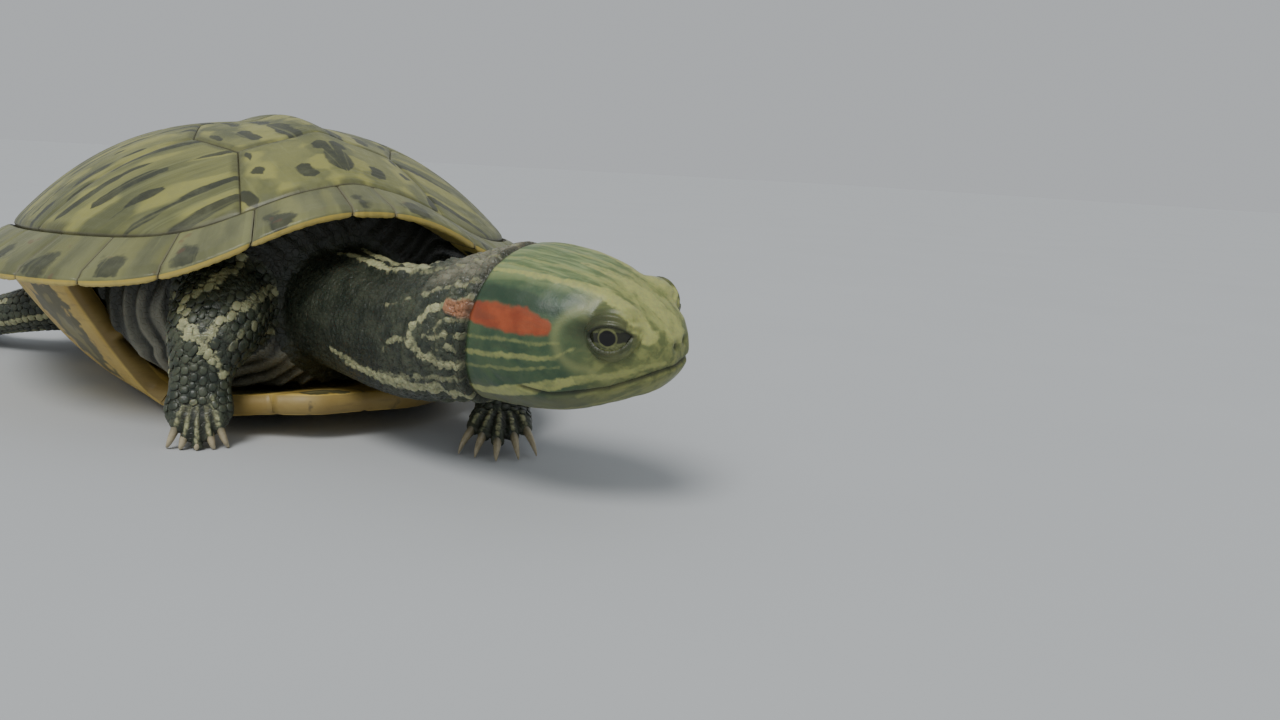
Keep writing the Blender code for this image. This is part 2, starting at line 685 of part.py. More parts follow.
# Legs: spine stations from inside the trunk to just short of the wrist or ankle.
FORELEGS = {
    "right": {
        "leg": (
            ((16.0, -9.0, 13.5), 4.8, 5.0),
            ((23.0, -10.6, 13.8), 4.9, 5.0),
            ((28.5, -12.8, 13.2), 4.8, 4.4),
            ((31.2, -14.8, 10.6), 4.4, 3.4),
            ((31.8, -15.8, 8.0), 3.2, 2.5),
        ),
        "sideways": Vector((0.32, 0.95, 0.0)),
        "forward": Vector((0.32, -0.12, -0.80)),
        "spread": radians(36),
    },
    "left": {
        "leg": (
            ((16.0, 8.5, 13.5), 4.8, 5.0),
            ((24.0, 13.0, 12.8), 4.8, 4.8),
            ((31.5, 16.0, 11.0), 4.5, 4.2),
            ((38.0, 16.0, 7.6), 3.9, 3.2),
            ((42.0, 13.8, 4.8), 3.2, 2.3),
        ),
        "sideways": Vector((0.4, 0.9, 0.1)),
        "forward": Vector((0.82, -0.50, -0.42)),
        "spread": radians(50),
    },
}
HINDLEGS = {
    "right": {
        "leg": (
            ((-16.0, -9.0, 9.0), 5.2, 4.6),
            ((-21.0, -17.0, 8.0), 5.2, 4.2),
            ((-26.0, -24.0, 6.3), 4.7, 3.2),
            ((-31.0, -28.5, 4.6), 3.9, 2.6),
            ((-35.5, -31.0, 3.0), 3.3, 2.0),
        ),
        "sideways": Vector((0.5, -0.8, 0.0)),
        "forward": Vector((-0.85, -0.45, -0.15)),
        "spread": radians(50),
    },
    "left": {
        "leg": (
            ((-16.0, 9.0, 9.0), 5.2, 4.6),
            ((-21.5, 17.5, 8.0), 5.2, 4.2),
            ((-25.0, 25.0, 6.3), 4.7, 3.2),
            ((-27.5, 31.0, 4.6), 3.9, 2.6),
            ((-30.5, 35.0, 3.0), 3.3, 2.0),
        ),
        "sideways": Vector((-0.8, -0.5, 0.0)),
        "forward": Vector((-0.60, 0.72, -0.15)),
        "spread": radians(50),
    },
}


def legs(kind, table, size, material, trunk_cutter, floor):
    for side_name, spec in table.items():
        rings, along = limb_rings(spec["leg"], spec["sideways"])
        leg = loft(f"{kind}leg_{side_name}", rings, material)
        boolean(leg, trunk_cutter, "DIFFERENCE", keep_tool=True)
        ankle = Vector(spec["leg"][-1][0]) + along * GAP
        ring = [point + along * GAP for point in rings[-1]]
        pose = (spec["forward"], spec["sideways"], spec["spread"])
        made = foot(f"{kind}foot_{side_name}", size, ankle, ring, *pose, material)
        boolean(made, floor, "DIFFERENCE", keep_tool=True)


def tail(material, trunk_cutter, floor):
    made = loft("tail", limb_rings(TAIL_STATIONS, Vector((0, -1, 0)))[0], material)
    boolean(made, trunk_cutter, "DIFFERENCE", keep_tool=True)
    boolean(made, floor, "DIFFERENCE", keep_tool=True)


def floor_block(material):
    mesh_data = bmesh.new()
    bmesh.ops.create_cube(mesh_data, size=1.0)
    bmesh.ops.scale(mesh_data, vec=(200.0, 160.0, 20.0), verts=mesh_data.verts)
    bmesh.ops.translate(mesh_data, vec=(0.0, 0.0, -10.0), verts=mesh_data.verts)
    return object_from("floor_cutter", mesh_data, material)


def main():
    scute_material = material_named("scute", (0.19, 0.22, 0.07), 0.42)
    plastron_material = material_named("plastron", (0.62, 0.47, 0.13), 0.45)
    skin = material_named("skin", (0.07, 0.09, 0.05), 0.6)
    eye_material = material_named("eye", (0.06, 0.07, 0.03), 0.1)
    vertebrals(scute_material)
    costals(scute_material)
    marginals(scute_material)
    plastron(plastron_material)
    body = trunk(skin)
    trunk_cutter = object_copy(body, "trunk_cutter")
    centre = sum((v.co for v in body.data.vertices), Vector()) / len(body.data.vertices)
    trunk_cutter.data.transform(
        Matrix.Translation(centre) @ Matrix.Diagonal((1.02, 1.02, 1.03, 1)) @ Matrix.Translation(-centre)
    )
    floor = floor_block(skin)
    head(skin, skin, eye_material)
    neck(skin, trunk_cutter)
    legs("fore", FORELEGS, FOREFOOT, skin, trunk_cutter, floor)
    legs("hind", HINDLEGS, HINDFOOT, skin, trunk_cutter, floor)
    tail(skin, trunk_cutter, floor)
    for name in ("femorals", "anals", "abdominals"):
        boolean(bpy.data.objects[name], floor, "DIFFERENCE", keep_tool=True)
    for cutter in (trunk_cutter, floor):
        bpy.data.objects.remove(cutter)
    finish(("head", "neck", "lower_jaw", "trunk", "tail", "eye", "fore", "hind"))


def finish(round_names):
    """Smooths the flesh and eyes, then puts the origin on the floor under the bounding box."""
    points = [vertex.co for made in TURTLE.objects for vertex in made.data.vertices]
    middle = [(max(p[axis] for p in points) + min(p[axis] for p in points)) / 2 for axis in (0, 1)]
    for made in TURTLE.objects:
        made.data.transform(Matrix.Translation((-middle[0], -middle[1], 0.0)))
        for face in made.data.polygons:
            face.use_smooth = made.name.startswith(round_names)


clear_scene()
TURTLE = collection_named("red_eared_slider")
main()
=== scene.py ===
"""The looks of a young red-eared slider turtle round the CAD frame: scutes, skin, scales, claws, eyes.

Lengths are millimetres in the turtle's own frame, the one its CAD source is drawn in: x to the front
of the shell, y to its left, z up from the floor. mesh_object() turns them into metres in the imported
frame, which has its origin under the middle of the whole turtle.
"""

from math import cos, pi, radians, sin

import bmesh
import bpy
import numpy as np
from mathutils import Matrix, Vector


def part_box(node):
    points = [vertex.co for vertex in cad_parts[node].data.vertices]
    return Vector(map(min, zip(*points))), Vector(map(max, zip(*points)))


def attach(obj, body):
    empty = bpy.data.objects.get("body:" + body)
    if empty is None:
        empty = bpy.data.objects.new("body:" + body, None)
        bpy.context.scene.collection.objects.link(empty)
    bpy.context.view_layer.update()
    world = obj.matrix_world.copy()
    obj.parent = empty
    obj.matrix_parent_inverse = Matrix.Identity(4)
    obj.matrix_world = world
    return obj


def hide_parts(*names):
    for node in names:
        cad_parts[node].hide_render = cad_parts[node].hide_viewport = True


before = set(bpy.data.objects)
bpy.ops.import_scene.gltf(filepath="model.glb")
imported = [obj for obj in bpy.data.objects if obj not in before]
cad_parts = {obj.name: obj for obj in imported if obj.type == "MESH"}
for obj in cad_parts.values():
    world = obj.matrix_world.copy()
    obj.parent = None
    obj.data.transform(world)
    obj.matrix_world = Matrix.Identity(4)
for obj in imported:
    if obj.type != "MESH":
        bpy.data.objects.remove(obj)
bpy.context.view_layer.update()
MM = 0.001

# ---------------------------------------------------------------- sizes shared with the CAD source

FRONT_REACH = 39.5
REAR_REACH = 40.5
HALF_WIDTH = 35.3
SQUARENESS = 2.3
DOME_TOP = 32.9
SIDE_RIM_Z = 15.4
FRONT_RIM_Z = 23.3
REAR_RIM_Z = 9.4
FRONT_ARCH_POWER = 12
MARGIN_SEAM = 0.83
SEAM_SHARE = 0.23
DOME_POWER = 2.6
KEEL_HEIGHT = 1.1
KEEL_WIDTH = 2.4
SCUTE_THICKNESS = 1.5
VERTEBRAL_SEAMS = (20.5, 5.5, -9.5, -23.5)
SEAM_HALF_WIDTHS = (9.0, 9.5, 9.0, 7.0)
VERTEBRAL_WIDEST = ((13.0, 12.0), (-2.0, 12.5), (-17.0, 11.5))
COSTAL_ANGLES = tuple(radians(a) for a in (20.0, 73.0, 98.0, 123.0, 159.0))
MARGINALS = 12
NUCHAL_HALF_ANGLE = radians(2.5)
FRONT_SERRATION = 0.15
REAR_SERRATION = 0.7
FIRST_SERRATED = 7
PLASTRON_THICKNESS = 2.2
PLASTRON_FLAT_Y = 17.0
BRIDGE_SHARE = 0.87
BRIDGE_CURVE = 1.5
BRIDGE_DROP = 0.5  # from the rim's height to the top of the bridge
BRIDGE_ANGLES = tuple(radians(a) for a in (60.0, 85.5, 120.0))
LOBE_RISE = 1.3
LOBE_RISE_FROM = 24.0
LOBE_RISE_OVER = 12.0
PITCH = radians(1.6)
PITCH_HINGE_X = -27.0
FLOOR_BITE = 0.2

HEAD_CENTRE = Vector((65.2, 8.9, 16.2))
HEAD_YAW = radians(26.0)
HEAD_ROLL = radians(16.0)
HEAD_BACK_X = -7.6
BACK_LEAN = 0.22
HEAD_STATIONS = (
    (HEAD_BACK_X, 7.1, 6.9, -7.6, 2.2),
    (-5.0, 7.5, 7.0, -7.4, 2.3),
    (-2.0, 7.7, 6.7, -7.2, 2.4),
    (1.0, 7.3, 6.3, -6.8, 2.4),
    (3.5, 6.3, 5.7, -6.1, 2.4),
    (6.0, 5.0, 4.7, -5.3, 2.3),
    (8.1, 3.8, 3.2, -4.4, 2.3),
    (9.4, 2.7, 1.9, -3.4, 2.3),
    (10.2, 1.7, 0.7, -2.4, 2.2),
)
EYE_CENTRE = Vector((5.8, 3.3, 1.7))
EYE_RADIUS = 2.3

# ---------------------------------------------------------------- the turtle's frame, the shell's surfaces


def head_frame():
    turn = Matrix.Rotation(HEAD_YAW, 4, "Z") @ Matrix.Rotation(HEAD_ROLL, 4, "X")
    return Matrix.Translation(HEAD_CENTRE) @ turn


def packed_shift():
    """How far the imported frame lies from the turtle's own, from where each has the left eye."""
    low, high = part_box("eye_left")
    middle = (Vector(low) + Vector(high)) / 2 / MM
    return middle - head_frame() @ EYE_CENTRE


SHIFT = packed_shift()
HEAD_TURN = np.array(head_frame().to_3x3())


def stance():
    hinge = Vector((PITCH_HINGE_X, 0.0, 0.0))
    lift = Matrix.Translation(hinge) @ Matrix.Rotation(-PITCH, 4, "Y") @ Matrix.Translation(-hinge)
    return Matrix.Translation((0.0, 0.0, -FLOOR_BITE)) @ lift


def moved(points, matrix):
    """Points of any array shape (..., 3) after a matrix."""
    turned = points @ np.array(matrix.to_3x3()).T
    return turned + np.array(matrix.translation)


def smooth(share):
    share = np.clip(share, 0.0, 1.0)
    return share * share * (3.0 - 2.0 * share)


def signed_power(value, power):
    return np.abs(value) ** power * np.sign(value)


def bell(distance, width, power=2):
    """1 at no distance, a third at the width, and next to nothing at twice the width."""
    return np.exp(-((distance / width) ** power))


def lengths(vectors):
    return np.linalg.norm(vectors, axis=-1)


def unit(vectors):
    return vectors / lengths(vectors)[..., None]


def signed_area(outline):
    """Twice the area of a closed outline, which is positive where it turns to the left."""
    after = np.roll(outline, -1, axis=0)
    return np.sum(outline[:, 0] * after[:, 1] - after[:, 0] * outline[:, 1])


def segment_distance(points, here, there):
    side = there - here
    share = np.clip((points - here) @ side / max(side @ side, 1e-9), 0.0, 1.0)
    return lengths(points - here - share[:, None] * side)


def rim_plan(angle):
    angle = np.asarray(angle, float)
    reach = np.where(np.cos(angle) >= 0, FRONT_REACH, REAR_REACH)
    power = 2.0 / SQUARENESS
    x = reach * signed_power(np.cos(angle), power)
    return np.stack((x, HALF_WIDTH * signed_power(np.sin(angle), power)), -1)


def plan_position(x, y):
    """Plan points as shares of the plan radius and angles on the outline."""
    reach = np.where(x >= 0, FRONT_REACH, REAR_REACH)
    along = (np.abs(x) / reach) ** SQUARENESS
    across = (np.abs(y) / HALF_WIDTH) ** SQUARENESS
    angle = np.arctan2(np.sqrt(across) * np.sign(y), np.sqrt(along) * np.where(x >= 0, 1, -1))
    return (along + across) ** (1.0 / SQUARENESS), angle


def rim_height(angle):
    front = np.maximum(0.0, np.cos(angle)) ** FRONT_ARCH_POWER
    rear = np.maximum(0.0, -np.cos(angle)) ** 2
    return SIDE_RIM_Z + (FRONT_RIM_Z - SIDE_RIM_Z) * front + (REAR_RIM_Z - SIDE_RIM_Z) * rear


def dome_height(x, y):
    share, angle = plan_position(x, y)
    rim = rim_height(angle)
    inner = 1.0 - (1.0 - SEAM_SHARE) * (np.minimum(share, MARGIN_SEAM) / MARGIN_SEAM) ** DOME_POWER
    outer = SEAM_SHARE * (1.0 - share) / (1.0 - MARGIN_SEAM)
    keel = KEEL_HEIGHT * bell(y, KEEL_WIDTH) * np.maximum(0.0, 1.0 - share**2)
    return rim + (DOME_TOP - rim) * np.where(share <= MARGIN_SEAM, inner, outer) + keel


def plastron_height(x, y):
    share, angle = plan_position(x, y)
    edge = BRIDGE_SHARE / np.maximum(share, 1e-6) * np.abs(y)
    rise = np.maximum(0.0, np.abs(y) - PLASTRON_FLAT_Y) / np.maximum(1.0, edge - PLASTRON_FLAT_Y)
    bridge = (rim_height(angle) - BRIDGE_DROP) * rise**BRIDGE_CURVE
    return bridge + LOBE_RISE * smooth((np.abs(x) - LOBE_RISE_FROM) / LOBE_RISE_OVER)


def surface_normal(surface, x, y):
    step = 0.05
    slope_x = (surface(x + step, y) - surface(x - step, y)) / (2 * step)
    slope_y = (surface(x, y + step) - surface(x, y - step)) / (2 * step)
    return unit(np.stack((-slope_x, -slope_y, np.ones_like(slope_x)), -1))


# ---------------------------------------------------------------- meshes


def mesh_object(name, points, faces, material, layers=None):
    """A smooth piece from points in the turtle's frame. Layers are named values on its points."""
    mesh = bpy.data.meshes.new(name)
    placed = (np.asarray(points, float).reshape(-1, 3) + np.array(SHIFT)) * MM
    mesh.from_pydata(placed.tolist(), [], faces)
    mesh.validate()
    mesh.polygons.foreach_set("use_smooth", [True] * len(mesh.polygons))
    if material:
        mesh.materials.append(material)
    add_layers(mesh, layers or {})
    return linked(name, mesh)


def linked(name, data):
    made = bpy.data.objects.new(name, data)
    bpy.context.scene.collection.objects.link(made)
    return made


def add_layers(mesh, layers):
    for name, values in layers.items():
        values = np.asarray(values, np.float32)
        kind, field = ("FLOAT", "value") if values.ndim == 1 else ("FLOAT_VECTOR", "vector")
        mesh.attributes.new(name, kind, "POINT").data.foreach_set(field, values.ravel())


def ring_faces(first, second, count):
    """Quads between two rings of count points, from their first indices."""
    return [
        (first + k, first + (k + 1) % count, second + (k + 1) % count, second + k) for k in range(count)
    ]


def loft_faces(rings, count, start=0):
    """The faces of a closed loft of rings, with flat ends."""
    faces = []
    for k in range(rings - 1):
        faces += ring_faces(start + k * count, start + (k + 1) * count, count)
    first = tuple(range(start + count - 1, start - 1, -1))
    last = tuple(range(start + (rings - 1) * count, start + rings * count))
    return faces + [first, last]


# Large numbers that scatter the whole numbers of a cell over the range
HASH_FACTORS = (73856093, 19349663, 83492791)
HASH_SEED_FACTOR = 2971215073
HASH_MIXERS = (2654435761, 40503 * 2246822519)
HASH_RANGE = 2**32


def noise_3d(points, seed=0):
    """Smooth noise from -1 to 1, with one lattice cell for each unit."""
    cell = np.floor(points).astype(np.int64)
    part = smooth(points - cell)
    total = np.zeros(len(points))
    for corner in np.ndindex(2, 2, 2):
        at = cell + corner
        key = seed * HASH_SEED_FACTOR
        for axis, factor in enumerate(HASH_FACTORS):
            key = (at[:, axis] * factor) ^ key
        value = key * HASH_MIXERS[0] % HASH_RANGE / (HASH_RANGE / 2) - 1.0
        total += value * np.prod(np.where(corner, part, 1.0 - part), axis=1)
    return total


# ---------------------------------------------------------------- materials


class Wire:
    """What a node gives out, as a value whose sums and products are further nodes."""

    def __init__(self, finish, socket):
        self.finish = finish
        self.socket = socket

    def __add__(self, other):
        return self.finish.math("ADD", self, other)

    def __sub__(self, other):
        return self.finish.math("SUBTRACT", self, other)

    def __rsub__(self, other):
        return self.finish.math("SUBTRACT", other, self)

    def __mul__(self, other):
        return self.finish.math("MULTIPLY", self, other)

    def __truediv__(self, other):
        return self.finish.math("DIVIDE", self, other)

    def __abs__(self):
        return self.finish.math("ABSOLUTE", self)


class Finish:
    """A material in the making, with short calls that add nodes and give back what comes out."""

    def __init__(self, name):
        self.material = bpy.data.materials.new(name)
        self.material.use_nodes = True
        self.tree = self.material.node_tree
        self.shader = self.tree.nodes["Principled BSDF"]
        self.colour = None

    def add(self, kind, inputs, output=0, **settings):
        made = self.tree.nodes.new(kind)
        for key, value in settings.items():
            setattr(made, key, value)
        for socket, value in inputs.items():
            self.feed(made.inputs[socket], value)
        return Wire(self, made.outputs[output])

    def feed(self, socket, value):
        if isinstance(value, Wire):
            self.tree.links.new(value.socket, socket)
        else:
            socket.default_value = value

    def set(self, **values):
        for name, value in values.items():
            self.feed(self.shader.inputs[name.replace("_", " ")], value)

    def layer(self, name, output="Fac"):
        return self.add("ShaderNodeAttribute", {}, output, attribute_name=name)

    def math(self, operation, *values):
        return self.add("ShaderNodeMath", dict(enumerate(values)), operation=operation)

    def scaled(self, vector, scale):
        return self.add("ShaderNodeVectorMath", {0: vector, 1: scale}, operation="MULTIPLY")

    def vector(self, x, y, z):
        return self.add("ShaderNodeCombineXYZ", {0: x, 1: y, 2: z})

    def parts(self, vector):
        made = self.tree.nodes.new("ShaderNodeSeparateXYZ")
        self.feed(made.inputs[0], vector)
        return [Wire(self, output) for output in made.outputs]

    def noise(self, vector, scale, detail=3.0, roughness=0.55, distortion=0.0):
        """Noise with one scale, or with one for each axis."""
        if isinstance(scale, tuple):
            vector, scale = self.scaled(vector, scale), 1.0
        inputs = {"Vector": vector, "Scale": scale, "Detail": detail, "Roughness": roughness}
        return self.add("ShaderNodeTexNoise", {**inputs, "Distortion": distortion})

    def ease(self, value, low, high, to_low=0.0, to_high=1.0):
        """Smoothly from to_low to to_high as value goes from low to high."""
        inputs = {"Value": value, "From Min": low, "From Max": high, "To Min": to_low, "To Max": to_high}
        return self.add("ShaderNodeMapRange", inputs, interpolation_type="SMOOTHSTEP")

    def mix(self, factor, first, second):
        """The colour between two others, each a tuple or what comes out of a node."""
        first, second = ((*tint, 1.0) if isinstance(tint, tuple) else tint for tint in (first, second))
        return self.add("ShaderNodeMix", {0: factor, 6: first, 7: second}, 2, data_type="RGBA")

    def ramp(self, value, low, high, first, second):
        """The first colour where value is low, and the second where it is high."""
        return self.mix(self.ease(value, low, high), first, second)

    def paint(self, factor, tint):
        """Lays a colour over what the material has so far."""
        self.colour = self.mix(factor, self.colour, tint)

    def bump(self, height, strength, distance):
        return self.add("ShaderNodeBump", {"Height": height, "Strength": strength, "Distance": distance})

    def places(self):
        """The point's place in millimetres."""
        return self.scaled(self.add("ShaderNodeTexCoord", {}, "Object"), (1 / MM,) * 3)


# Colours of the materials. A pair is mixed by a pattern or a layer, the first where it is low
DULL_HORN = ((0.112, 0.118, 0.052), (0.185, 0.190, 0.082))
VIVID_HORN = ((0.098, 0.106, 0.042), (0.205, 0.208, 0.068))
UNDER_HORN = ((0.52, 0.41, 0.12), (0.035, 0.04, 0.022))
SEAM_TINTS = ((0.150, 0.140, 0.095), (0.085, 0.080, 0.050))
BELLY_YELLOWS = ((0.47, 0.32, 0.065), (0.60, 0.44, 0.12))
SKIN_GROUND = ((0.026, 0.034, 0.024), (0.075, 0.085, 0.052))
HEAD_GREENS = ((0.034, 0.072, 0.036), (0.070, 0.112, 0.050))
CROWN_GREENS = ((0.105, 0.155, 0.060), (0.235, 0.290, 0.120))
JAW_OLIVES = ((0.085, 0.092, 0.038), (0.145, 0.150, 0.062))
MUZZLE_GREENS = ((0.130, 0.150, 0.048), (0.250, 0.262, 0.084))
# Painted shade deep in the pockets and in the folds' hollows, then painted light on the fold crests near the
# legs
POCKET_SHADE_AND_LIGHT = ((0.024, 0.026, 0.019), (0.230, 0.226, 0.172))
NECK_BEIGES = ((0.115, 0.115, 0.078), (0.235, 0.225, 0.160))
STRIPE_TINTS = ((0.41, 0.41, 0.23), (0.355, 0.370, 0.120))
EAR_REDS = ((0.245, 0.044, 0.015), (0.370, 0.075, 0.024))
IRIS_TINTS = ((0.065, 0.078, 0.028), (0.18, 0.195, 0.075))
CLAW_TINTS = ((0.10, 0.095, 0.06), (0.42, 0.36, 0.23))
BAR_YELLOW = (0.335, 0.325, 0.085)
DASH_BLACK = (0.024, 0.028, 0.017)
RUST = (0.13, 0.055, 0.030)
FINE_LINES = (0.27, 0.28, 0.11)
RIM_YELLOW = (0.46, 0.345, 0.068)
BORDER_BLACK = (0.030, 0.034, 0.018)
DUSTY_FILM = (0.17, 0.18, 0.10)
SCUFFED_YELLOW = (0.30, 0.205, 0.060)
BLOTCH_BLACK = (0.045, 0.055, 0.032)
BLOTCH_MIDDLE = (0.26, 0.23, 0.09)
BELLY_SEAM = (0.13, 0.09, 0.035)
# Painted shade on the neck's base, deep under the shell
NECK_BASE_SHADE = (0.016, 0.020, 0.014)
BAND_GREEN = (0.022, 0.048, 0.026)
BROW_SHADE_BLACK = (0.026, 0.032, 0.016)
HALO_GREEN = (0.245, 0.265, 0.105)
STRIPE_GRIT = (0.24, 0.25, 0.12)
EAR_LINES = (0.200, 0.060, 0.026)
FADED_RED = (0.33, 0.15, 0.075)
CRACK_BLACK = (0.016, 0.018, 0.012)
CREASE_SHADE = (0.012, 0.014, 0.009)
IRIS_RAYS = (0.05, 0.06, 0.02)
IRIS_EDGE = (0.045, 0.05, 0.03)
IRIS_LID_SHADOW = (0.030, 0.034, 0.014)
EYE_BAR = (0.012, 0.013, 0.008)
PUPIL_RING = (0.20, 0.21, 0.08)
PUPIL = (0.003, 0.003, 0.003)
CLAW_STREAKS = (0.17, 0.14, 0.09)


def grain_bars(made, grain, spacing, half_width, threshold, softness, seed):
    """Broken bars of pigment that run along the grain, spacing apart, in other places on each scute."""
    along, across, scute_seed = made.parts(grain)
    bend = made.noise(grain, (0.09, 0.10, 1.0), detail=2.0)
    lane = across / spacing + bend * 1.3 + scute_seed * 0.37
    off = abs(made.math("FRACT", lane) - 0.5) * spacing
    place = made.vector(along * 0.19, made.math("FLOOR", lane) * 7.7, seed)
    place = made.add("ShaderNodeVectorMath", {0: place, 1: made.vector(scute_seed, scute_seed, 0.0)})
    broken = made.noise(place, 1.0, detail=1.0)
    width = made.ease(broken, threshold, threshold + 0.16, -0.25, half_width + 0.15)
    ragged = made.noise(grain, (0.9, 2.6, 1.0))
    return made.ease(off - (width + (ragged - 0.5) * 0.45), softness, -softness)


def scute_finish():
    """Olive horn with yellow-green bars and dark dashes along the grain of each scute."""
    made = Finish("scute")
    places, grain = made.places(), made.layer("grain", "Vector")
    gap, smudge, bold = (made.layer(name) for name in ("gap", "smudge", "bold"))
    ground = made.noise(grain, (0.12, 0.25, 1.0), detail=4.0)
    dull = made.ramp(ground, 0.35, 0.65, *DULL_HORN)
    vivid = made.ramp(ground, 0.34, 0.62, *VIVID_HORN)
    made.colour = made.mix(bold, dull, vivid)
    light = grain_bars(made, grain, 4.2, 0.95, 0.44, 0.45, 31.0)
    made.paint(light * (bold * 0.50 + 0.20), BAR_YELLOW)
    dark = grain_bars(made, grain, 3.0, 0.50, 0.42, 0.11, 5.0) * (bold * 0.80 + 0.10)
    torn = (made.noise(places, 0.55, detail=4.0) - 0.5) * 1.1
    blot = made.ease(smudge + torn, 0.34, 0.60, 0.0, 0.85)
    made.paint(made.math("MAXIMUM", dark, blot), DASH_BLACK)
    rust = made.ease(made.noise(places, 0.42, detail=2.0), 0.66, 0.74, 0.0, 0.45)
    made.paint(rust * (1.0 - bold), RUST)
    lines = made.noise(grain, (0.05, 1.5, 5.0), detail=2.0, distortion=0.2)
    made.paint(made.ease(lines, 0.58, 0.70, 0.0, 0.30), FINE_LINES)
    made.paint(made.ease(made.layer("rim"), 0.45, 0.75), RIM_YELLOW)
    belly = made.ramp(smudge, 0.35, 0.6, *UNDER_HORN)
    made.paint(made.layer("under"), belly)
    border = made.ease(gap, 1.1, 0.4) * made.ease(ground, 0.44, 0.60, 0.0, 0.6)
    made.paint(border * bold, BORDER_BLACK)
    seam = made.mix(bold, *SEAM_TINTS)
    made.paint(made.ease(gap, 0.20, 0.02, 0.0, 0.75), seam)
    film = made.noise(places, 0.55, detail=6.0, roughness=0.65)
    made.paint(made.ease(film, 0.42, 0.75, 0.0, 0.35), DUSTY_FILM)
    fine = made.noise(grain, (0.5, 2.4, 1.0), detail=5.0, roughness=0.6)
    made.set(Base_Color=made.colour, Roughness=made.ease(film, 0.3, 0.7, 0.38, 0.56))
    made.set(Coat_Weight=0.12, Coat_Roughness=0.25, Specular_IOR_Level=0.35)
    made.set(Normal=made.bump(fine, 0.55, 0.00012))
    return made.material


def plastron_finish():
    """Yellow horn with a dark, ringed blotch or two on each scute."""
    made = Finish("plastron")
    places = made.places()
    wear = made.noise(places, 0.25, detail=5.0)
    made.colour = made.ramp(wear, 0.35, 0.7, *BELLY_YELLOWS)
    scuffs = made.noise(places, (0.35, 0.35, 2.2), detail=5.0, roughness=0.6)
    made.paint(made.ease(scuffs, 0.52, 0.70, 0.0, 0.55), SCUFFED_YELLOW)
    field = made.layer("blotch") + (made.noise(places, 0.5, roughness=0.5) - 0.5) * 0.9
    made.paint(made.ease(field, 0.42, 0.52) * 0.88, BLOTCH_BLACK)
    made.paint(made.ease(field, 0.72, 0.82, 0.0, 0.7), BLOTCH_MIDDLE)
    made.paint(made.ease(made.layer("gap"), 0.30, 0.05, 0.0, 0.7), BELLY_SEAM)
    made.set(Base_Color=made.colour, Roughness=made.ease(wear, 0.3, 0.7, 0.44, 0.60))
    made.set(Coat_Weight=0.08, Coat_Roughness=0.3)
    made.set(Normal=made.bump(made.noise(places, 1.6, detail=6.0), 0.35, 0.0001))
    return made.material


def skin_finish():
    """Dark scaly skin with pale stripes, a yellow-green crown and the red ear patch."""
    made = Finish("skin")
    places, layer = made.places(), made.layer
    mottle = made.noise(places, 0.5, detail=5.0)
    ragged = (made.noise(places, 1.5) - 0.5) * 0.55
    lines = made.noise(layer("own", "Vector"), (0.16, 1.5, 1.1), distortion=0.4)
    made.colour = made.ramp(mottle, 0.32, 0.68, *SKIN_GROUND)
    green = made.ramp(mottle, 0.35, 0.65, *HEAD_GREENS)
    made.paint(layer("head"), green)
    crown = made.ramp(lines, 0.38, 0.62, *CROWN_GREENS)
    made.paint(layer("crown"), crown)
    olive = made.ramp(mottle, 0.35, 0.65, *JAW_OLIVES)
    made.paint(layer("jaw") * 0.8, olive)
    muzzle = made.ramp(lines, 0.38, 0.62, *MUZZLE_GREENS)
    made.paint(layer("muzzle") * 0.8, muzzle)
    # The fold layer paints shade deep in the shell and in the hollows of the folds, and light on their crests
    # near the legs
    lit_folds = layer("fold") + (mottle - 0.5) * 0.5
    pocket = made.ramp(lit_folds, 0.15, 0.85, *POCKET_SHADE_AND_LIGHT)
    made.paint(layer("pocket"), pocket)
    beige = made.ramp(mottle, 0.35, 0.65, *NECK_BEIGES)
    made.paint(layer("beige") * 0.85, beige)
    # Painted shade that darkens the neck towards its base, deep under the shell
    made.paint(layer("dusk") * 0.6, NECK_BASE_SHADE)
    made.paint(made.ease(layer("band") + ragged * 0.6, 0.30, -0.20, 0.0, 0.8), BAND_GREEN)
    # Painted shade round each eye, darkest under the brow
    made.paint(layer("brow_shade") * 0.85, BROW_SHADE_BLACK)
    made.paint(layer("halo") * 0.55, HALO_GREEN)
    grit = made.noise(places, 2.6, detail=4.0)
    stripe = made.mix(layer("head"), *STRIPE_TINTS)
    stripe = made.mix(made.ease(grit, 0.35, 0.7, 0.0, 0.5), stripe, STRIPE_GRIT)
    worn = made.ease(made.noise(places, 0.8), 0.30, 0.52, 0.55, 1.0)
    made.paint(made.ease(layer("pale") + ragged, 0.14, -0.12) * layer("bright") * worn, stripe)
    ear = made.ramp(mottle, 0.3, 0.7, *EAR_REDS)
    ear = made.mix(made.ease(lines, 0.45, 0.65, 0.0, 0.35), ear, EAR_LINES)
    faded = made.mix(layer("head"), FADED_RED, ear)
    made.paint(made.ease(layer("red") + ragged * 0.8, 0.20, -0.16, 0.0, 0.95), faded)
    crack = made.ease(layer("joint"), 0.25, 0.90, 0.0, 0.72) * layer("scaly")
    made.paint(crack, CRACK_BLACK)
    # Painted shade in the creases: the mouth line, the nostrils, the groove behind the head and round the
    # lids
    made.paint(layer("dark") * 0.85, CREASE_SHADE)
    made.set(Base_Color=made.colour, Roughness=made.ease(mottle, 0.3, 0.7, 0.34, 0.52))
    made.set(Coat_Weight=0.08, Coat_Roughness=0.30, Specular_IOR_Level=0.38)
    made.set(Subsurface_Weight=0.06, Subsurface_Scale=0.0006)
    cells = {"Vector": places, "Scale": 1.7}
    granules = made.add("ShaderNodeTexVoronoi", cells, "Distance", feature="DISTANCE_TO_EDGE")
    tiny = made.noise(places, 3.2, detail=5.0, roughness=0.6)
    flat = made.math("MAXIMUM", layer("head"), layer("plate") * 0.9)
    relief = made.ease(granules, 0.0, 0.16) * (0.7 - flat * 0.7) + tiny * 0.5
    made.set(Normal=made.bump(relief, 0.5, 0.00012))
    return made.material


